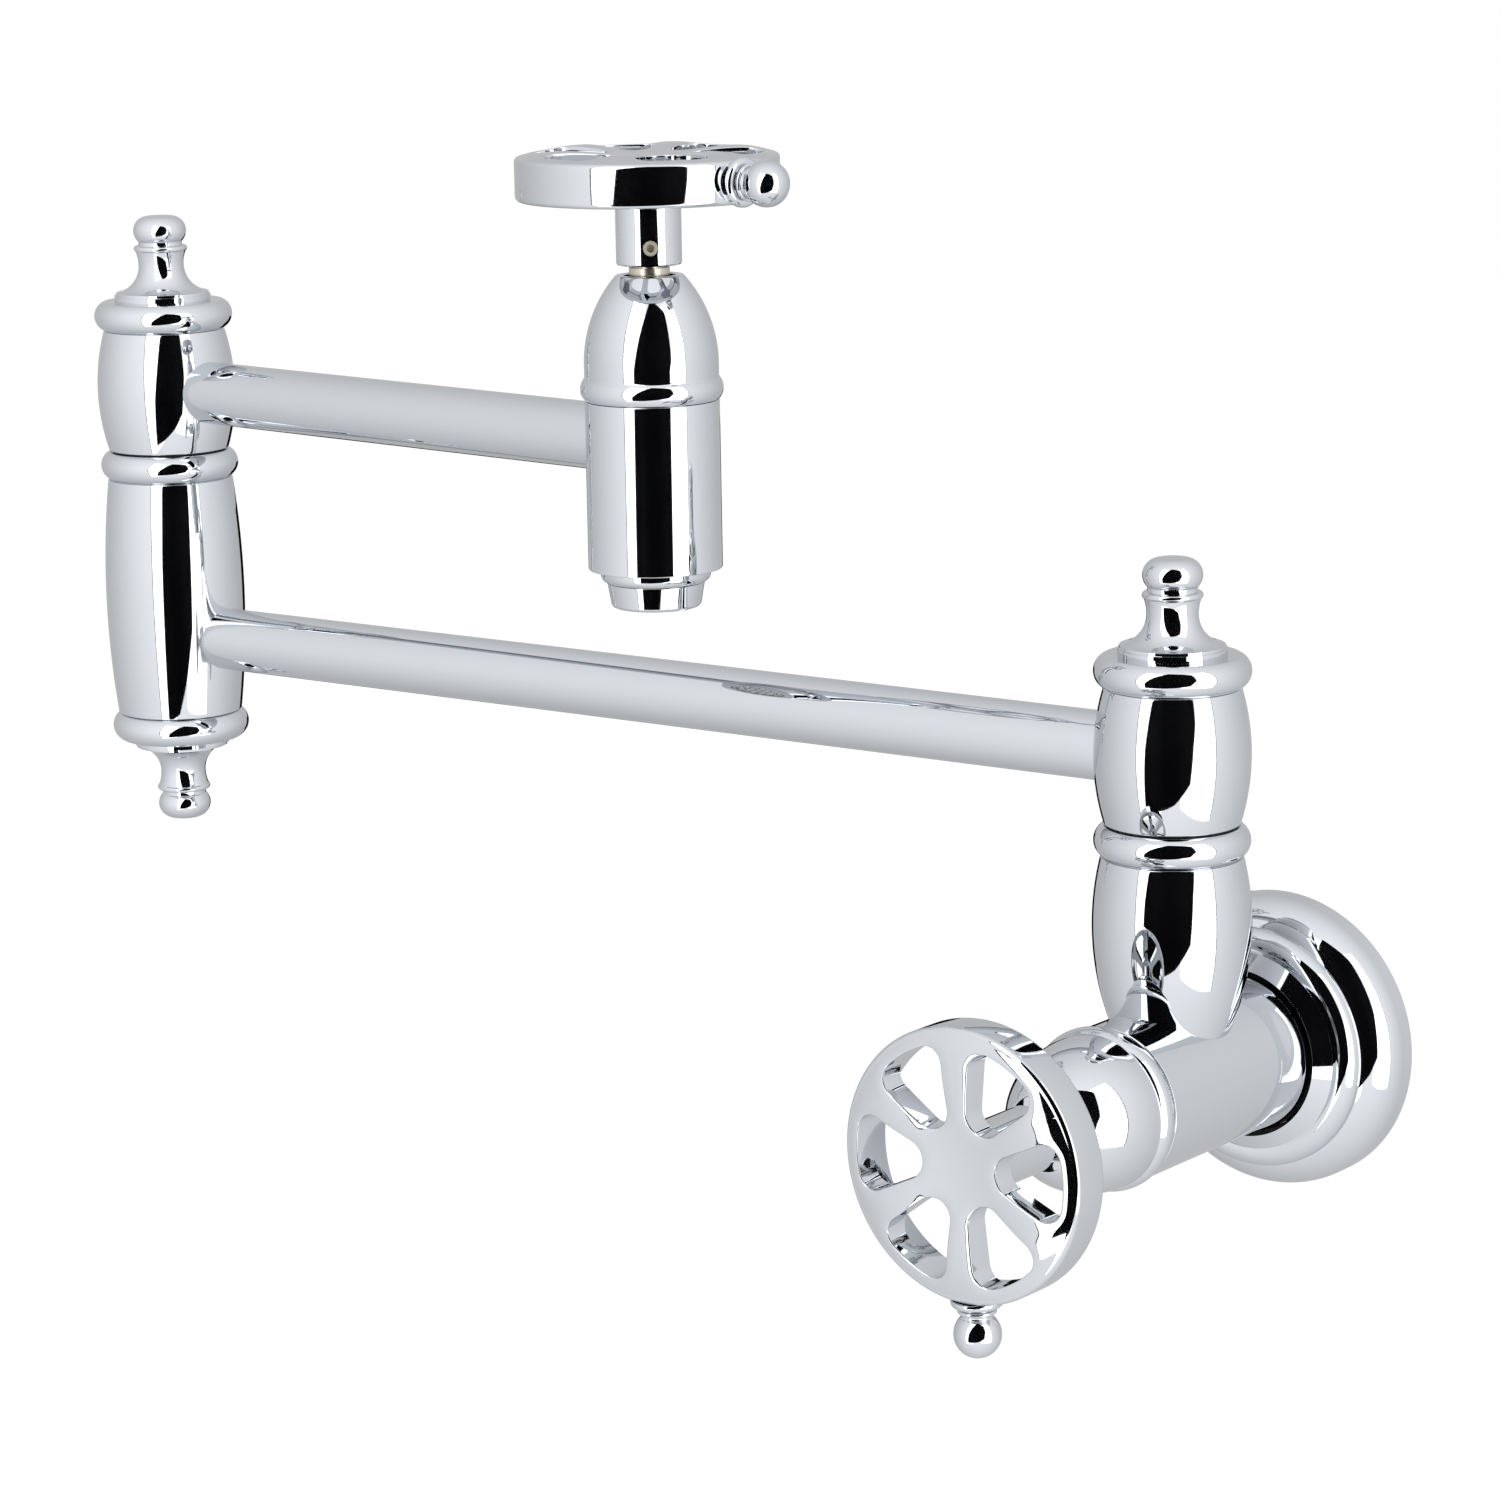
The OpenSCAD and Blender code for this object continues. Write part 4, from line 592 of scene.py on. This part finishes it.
def drill(bm, radius, z, bearing):
    """Bores the set screw's cross hole from the neck's side into its bore."""
    cutter = bmesh.new()
    across_neck = (Matrix.Rotation(bearing, 4, "Z") @ Matrix.Translation((NECK_R, 0, z))
                   @ Matrix.Rotation(math.radians(90), 4, "Y"))
    bmesh.ops.create_cone(cutter, cap_ends=True, segments=HOLE_STEPS, radius1=radius, radius2=radius,
                          depth=NECK_R, matrix=across_neck)
    blanks = []
    for source in (bm, cutter):
        mesh = bpy.data.meshes.new("blank")
        source.to_mesh(mesh)
        blanks.append(bpy.data.objects.new("blank", mesh))
        bpy.context.scene.collection.objects.link(blanks[-1])
    hole = blanks[0].modifiers.new("set screw hole", "BOOLEAN")
    hole.operation, hole.solver, hole.object = "DIFFERENCE", "EXACT", blanks[1]
    drilled = blanks[0].evaluated_get(bpy.context.evaluated_depsgraph_get())
    bm.clear()
    bm.from_mesh(drilled.to_mesh())
    drilled.to_mesh_clear()
    cutter.free()
    for blank in blanks:
        bpy.data.meshes.remove(blank.data)
    return bm


WHEEL_PLACES = {
    side: axis @ Matrix.Translation((0, 0, WHEEL_SEATS[side])) @ Matrix.Rotation(WHEEL_TURNS[side], 4, "Z")
    for side, axis in (("front", INLET_AXIS), ("spout", SPOUT_AXIS))
}
for side, place in WHEEL_PLACES.items():
    bm = drill(close_wheel(cast_face()), SET_SCREW_HOLE_R, SET_SCREW_Z, SET_SCREW_BEARING)
    keep(side + "_wheel_casting", bm, place, side + "_handle", [side + "_wheel"],
         polished_chrome, weighted=False)

# Wheel knobs: a turned ball on a short neck with a thin ring and a saucer that fits the rim.
# Each is held by a stud screwed into the rim, over a spoke.
KNOB_STUD_R, KNOB_STUD_L, KNOB_STUD_NECK = 2.5, 3.2, 0.2
KNOB_SAUCER_R, KNOB_SAUCER_T, KNOB_SAUCER_EDGE, KNOB_SAUCER_RINGS = 6.5, 1.9, 0.5, 8
KNOB_NECK_R, KNOB_RING_R, KNOB_RING_H = 3.9, 4.9, 1.2
KNOB_BALL_R, KNOB_REACH = 6, 8.9
KNOB_EDGE = 0.15
LEVEL_SLACK, STUD_SLACK = 1e-4, 0.1

for side, place in WHEEL_PLACES.items():
    round_r = KNOB_SAUCER_T - KNOB_SAUCER_EDGE
    ring_z = KNOB_REACH - KNOB_BALL_R
    ball_start = math.degrees(math.acos(KNOB_NECK_R / KNOB_BALL_R))
    bm = turned(
        [(0, -KNOB_STUD_L), (KNOB_STUD_R, -KNOB_STUD_L), (KNOB_STUD_R, -KNOB_STUD_NECK), (KNOB_STUD_R, 0)]
        + [(KNOB_STUD_R + (KNOB_SAUCER_R - KNOB_STUD_R) * i / KNOB_SAUCER_RINGS, 0)
           for i in range(1, KNOB_SAUCER_RINGS + 1)]
        + arc(KNOB_SAUCER_R - round_r, KNOB_SAUCER_EDGE, round_r, 0, 90, steps=10)
        + [(KNOB_NECK_R, KNOB_SAUCER_T)]
        + arc(KNOB_RING_R - KNOB_RING_H / 2, ring_z, KNOB_RING_H / 2, -120, 120, steps=16)
        + arc(0, KNOB_REACH, KNOB_BALL_R, -ball_start, 90, steps=48),
        closed=False,
    )
    # The saucer's back is bent to the rim's round.
    for vert in bm.verts:
        if abs(vert.co.z) < LEVEL_SLACK and vert.co.xy.length > KNOB_STUD_R + STUD_SLACK:
            vert.co.z = math.sqrt(WHEEL_R**2 - vert.co.y**2) - WHEEL_R
    soften(bm, KNOB_EDGE, 2)
    rim = Matrix.Translation((0, 0, NECK_L + RIM_T / 2)) @ Matrix.Rotation(math.radians(90), 4, "Y")
    keep(side + "_knob_ball", bm, place @ rim @ Matrix.Translation((0, 0, WHEEL_R)), side + "_handle",
         [side + "_wheel_knob"], polished_chrome)

# Stems, gland nuts, set screws, cartridges and spindles: bright brass with a thin nickel wash, left as
# turned. Fine turning marks only soften the gloss. The small set screws come tumbled, so they are duller.
BRASS_HEX = "#cac4b6"
BRASS_FINISHES = {"nickel_washed_brass": (0.2, 0.36), "tumbled_nickel_screw": (0.6, 0.8)}
TURNING_MM = 0.6

brass_materials = {}
for name, roughness in BRASS_FINISHES.items():
    material, tree = new_material(name)
    place = add(tree, "ShaderNodeTexCoord")
    marks = add(tree, "ShaderNodeTexNoise", {"Scale": 1 / (TURNING_MM * MM), "Detail": 2.0},
                {"Vector": place.outputs["Object"]})
    gloss = add(tree, "ShaderNodeMapRange", {"To Min": roughness[0], "To Max": roughness[1]},
                {"Value": marks.outputs["Fac"]})
    metal = add(tree, "ShaderNodeBsdfPrincipled", {"Base Color": linear(BRASS_HEX), "Metallic": 1.0},
                {"Roughness": gloss.outputs["Result"]})
    add(tree, "ShaderNodeOutputMaterial", None, {"Surface": metal.outputs["BSDF"]})
    brass_materials[name] = material

# Seals and thrust washers: moulded black rubber and filled PTFE.
# They show as a black line at each joint.
RUBBER_HEX = "#141416"
RUBBER_ROUGHNESS = 0.6
RUBBER_GRAIN_MM = 0.25
RUBBER_GRAIN_DEPTH_MM, RUBBER_GRAIN_STRENGTH = 0.02, 0.6

black_rubber, tree = new_material("moulded_black_rubber")
place = add(tree, "ShaderNodeTexCoord")
grain = add(tree, "ShaderNodeTexNoise", {"Scale": 1 / (RUBBER_GRAIN_MM * MM), "Detail": 2.0},
            {"Vector": place.outputs["Object"]})
bump = add(tree, "ShaderNodeBump",
           {"Strength": RUBBER_GRAIN_STRENGTH, "Distance": RUBBER_GRAIN_DEPTH_MM * MM},
           {"Height": grain.outputs["Fac"]})
skin = add(tree, "ShaderNodeBsdfPrincipled",
           {"Base Color": linear(RUBBER_HEX), "Roughness": RUBBER_ROUGHNESS},
           {"Normal": bump.outputs["Normal"]})
add(tree, "ShaderNodeOutputMaterial", None, {"Surface": skin.outputs["BSDF"]})

# Ceramic discs and aerator screen: lapped alumina, cream white, and moulded acetal, pale grey.
# Both have a faint speckle. Each finish is two colours and a roughness.
PALE_FINISHES = {
    "lapped_alumina": (("#e9e4d8", "#dcd6c8"), 0.25),
    "moulded_acetal": (("#cfd0cd", "#c2c3c0"), 0.45),
}
SPECKLE_MM = 0.5

pale_materials = {}
for name, (hexes, roughness) in PALE_FINISHES.items():
    material, tree = new_material(name)
    place = add(tree, "ShaderNodeTexCoord")
    speckle = add(tree, "ShaderNodeTexNoise", {"Scale": 1 / (SPECKLE_MM * MM), "Detail": 3.0},
                  {"Vector": place.outputs["Object"]})
    colour = add(tree, "ShaderNodeValToRGB", None, {"Fac": speckle.outputs["Fac"]})
    for stop, hex_colour in zip(colour.color_ramp.elements, hexes):
        stop.color = linear(hex_colour)
    skin = add(tree, "ShaderNodeBsdfPrincipled", {"Roughness": roughness},
               {"Base Color": colour.outputs["Color"]})
    add(tree, "ShaderNodeOutputMaterial", None, {"Surface": skin.outputs["BSDF"]})
    pale_materials[name] = material

# Pieces shown as the construction gives them: each solid of the frame has the material that its slot names.
# Only the two set screws have a finish of their own.
SLOT_MATERIALS = {
    "chrome": polished_chrome, "brass": brass_materials["nickel_washed_brass"], "rubber": black_rubber,
    "ceramic": pale_materials["lapped_alumina"], "screen": pale_materials["moulded_acetal"],
}
for subpart in frame["record"]["subparts"]:
    mesh = frame["nodes"][subpart["node"]].data
    mesh.materials.clear()
    mesh.materials.append(SLOT_MATERIALS[subpart["material_slot"]])
for side in WHEEL_PLACES:
    frame["nodes"][side + "_set_screw"].data.materials[0] = brass_materials["tumbled_nickel_screw"]

# Floor: a plain white studio sweep, well below the tap, which hangs on a wall.
# It is white to the eye. Where the chrome mirrors it, it fades from white in front to grey behind the tap.
FLOOR_Z, FLOOR_SIZE = -0.5, 12
FLOOR_HEX = "#ececec"
FLOOR_WHITE, FLOOR_WHITE_SHARE = 1.05, 0.88
TENT_CENTRE = (-0.15, -0.07, 0.1)
TENT_BRIGHT_WAY = (0.6, -0.72, 0.35)
TENT_NEAR, TENT_FAR, TENT_TINT = 1.42, 0.55, (0.985, 0.99, 1.0, 1.0)


def tent_level(tree, way):
    """How bright the studio's tent and floor are in a direction: bright by the camera, dim behind the tap."""
    facing = add(tree, "ShaderNodeVectorMath", {"operation": "DOT_PRODUCT"}, {"Vector": way})
    facing.inputs[1].default_value = TENT_BRIGHT_WAY
    return add(tree, "ShaderNodeMapRange", {"From Min": -1.0, "To Min": TENT_FAR, "To Max": TENT_NEAR},
               {"Value": facing.outputs["Value"]}).outputs["Result"]


bpy.ops.mesh.primitive_plane_add(size=FLOOR_SIZE, location=(0, 0, FLOOR_Z))
floor = bpy.context.object
floor.name = "studio_floor"
sweep_white, tree = new_material("white_studio_floor")
ray = add(tree, "ShaderNodeLightPath")
paint = add(tree, "ShaderNodeBsdfDiffuse", {"Color": linear(FLOOR_HEX)})
white = add(tree, "ShaderNodeEmission", {"Strength": FLOOR_WHITE})
spot = add(tree, "ShaderNodeTexCoord")
from_tap = add(tree, "ShaderNodeVectorMath", {"operation": "SUBTRACT"}, {"Vector": spot.outputs["Object"]})
from_tap.inputs[1].default_value = (TENT_CENTRE[0], TENT_CENTRE[1], TENT_CENTRE[2] - FLOOR_Z)
way = add(tree, "ShaderNodeVectorMath", {"operation": "NORMALIZE"}, {"Vector": from_tap.outputs["Vector"]})
level = tent_level(tree, way.outputs["Vector"])
grey = add(tree, "ShaderNodeEmission", {"Color": TENT_TINT}, {"Strength": level})
seen = add(tree, "ShaderNodeMixShader", {"Fac": FLOOR_WHITE_SHARE})
tree.links.new(paint.outputs["BSDF"], seen.inputs[1])
tree.links.new(white.outputs["Emission"], seen.inputs[2])
direct = add(tree, "ShaderNodeMixShader", None, {"Fac": ray.outputs["Is Camera Ray"]})
tree.links.new(paint.outputs["BSDF"], direct.inputs[1])
tree.links.new(seen.outputs["Shader"], direct.inputs[2])
mirrored = add(tree, "ShaderNodeMixShader", None, {"Fac": ray.outputs["Is Glossy Ray"]})
tree.links.new(direct.outputs["Shader"], mirrored.inputs[1])
tree.links.new(grey.outputs["Emission"], mirrored.inputs[2])
add(tree, "ShaderNodeOutputMaterial", None, {"Surface": mirrored.outputs["Shader"]})
floor.data.materials.append(sweep_white)

# Black board: a cut board on a stand, between the tap and the camera and out of the camera's sight.
# Chrome has no colour of its own, so this board draws the black bands on every upright cylinder.
# Two thin strips beside it are the soft boxes' black frames, and a low board lies behind the tap.
BOARD_START, BOARD_END = Vector((-0.09, -0.65)), Vector((0.6, -0.33))
BOARD_OUTLINE = (
    (-0.01, -0.28), (0.45, -0.2), (0.68, -0.12), (0.74, 0.08), (0.87, 0.34),
    (1.15, 0.62), (0.75, 0.92), (0.33, 0.97), (0.13, 0.4), (0.03, 0.06),
)
BOX_LINES = {
    "left": (Vector((-0.23, -0.713)), Vector((0.2, -0.76))),
    "right": (Vector((0.7, 0.05)), Vector((0.58, -0.62))),
}
BOX_FOOT_Z, BOX_TOP_Z, FRAME_W = -0.4, 1.1, 0.012
BACK_BOARD, BACK_FOOT_Z, BACK_TOP_Z = ((-1.17, 0.65), (-0.63, 1.09)), -0.4, 0.0
BOARD_HEX = "#0b0b0d"

bm = bmesh.new()
along = (BOARD_END - BOARD_START).normalized()
bm.faces.new([bm.verts.new((*(BOARD_START + along * s), z)) for s, z in BOARD_OUTLINE])
strips = [(outer, outer + (outer - inner).normalized() * FRAME_W, BOX_FOOT_Z, BOX_TOP_Z)
          for outer, inner in BOX_LINES.values()]
strips.append((*BACK_BOARD, BACK_FOOT_Z, BACK_TOP_Z))
for start, end, foot, top in strips:
    corners = ((start, foot), (end, foot), (end, top), (start, top))
    bm.faces.new([bm.verts.new((*spot, z)) for spot, z in corners])
mesh = bpy.data.meshes.new("black_board")
bm.to_mesh(mesh)
bm.free()
board = bpy.data.objects.new("black_board", mesh)
bpy.context.scene.collection.objects.link(board)
board_black, tree = new_material("matt_black_board")
paint = add(tree, "ShaderNodeBsdfDiffuse", {"Color": linear(BOARD_HEX)})
add(tree, "ShaderNodeOutputMaterial", None, {"Surface": paint.outputs["BSDF"]})
mesh.materials.append(board_black)
board.visible_camera = False
board.visible_diffuse = False
board.visible_shadow = False

# Studio light: two tall soft boxes, one on each side of the black board, and a pale tent all round.
# The soft boxes give the white bars beside each black band.
BOX_GLOW = 1.55

for name, (outer, inner) in BOX_LINES.items():
    lamp = bpy.data.lights.new(name + "_soft_box", "AREA")
    lamp.shape = "RECTANGLE"
    lamp.size, lamp.size_y = (inner - outer).length, BOX_TOP_Z - BOX_FOOT_Z
    lamp.energy = BOX_GLOW * math.pi * lamp.size * lamp.size_y
    soft_box = bpy.data.objects.new(name + "_soft_box", lamp)
    along = (inner - outer).normalized()
    facing = Vector((along.y, -along.x))
    middle = (outer + inner) / 2
    if facing.dot(middle) < 0:
        along, facing = -along, -facing
    upright = Matrix(((-along.x, -along.y, 0), (0, 0, 1), (facing.x, facing.y, 0)))
    centre = Matrix.Translation((*middle, (BOX_FOOT_Z + BOX_TOP_Z) / 2))
    soft_box.matrix_world = centre @ upright.transposed().to_4x4()
    soft_box.visible_camera = False
    bpy.context.scene.collection.objects.link(soft_box)

world = bpy.data.worlds.new("pale_tent")
bpy.context.scene.world = world
world.use_nodes = True
tree = world.node_tree
tree.nodes.clear()
way = add(tree, "ShaderNodeTexCoord")
level = tent_level(tree, way.outputs["Generated"])
tent = add(tree, "ShaderNodeBackground", {"Color": TENT_TINT}, {"Strength": level})
white = add(tree, "ShaderNodeBackground", {"Color": (1.0, 1.0, 1.0, 1.0), "Strength": 1.0})
ray = add(tree, "ShaderNodeLightPath")
seen = add(tree, "ShaderNodeMixShader", None, {"Fac": ray.outputs["Is Camera Ray"]})
tree.links.new(tent.outputs["Background"], seen.inputs[1])
tree.links.new(white.outputs["Background"], seen.inputs[2])
add(tree, "ShaderNodeOutputWorld", None, {"Surface": seen.outputs["Shader"]})
bpy.context.scene.view_settings.view_transform = "Standard"
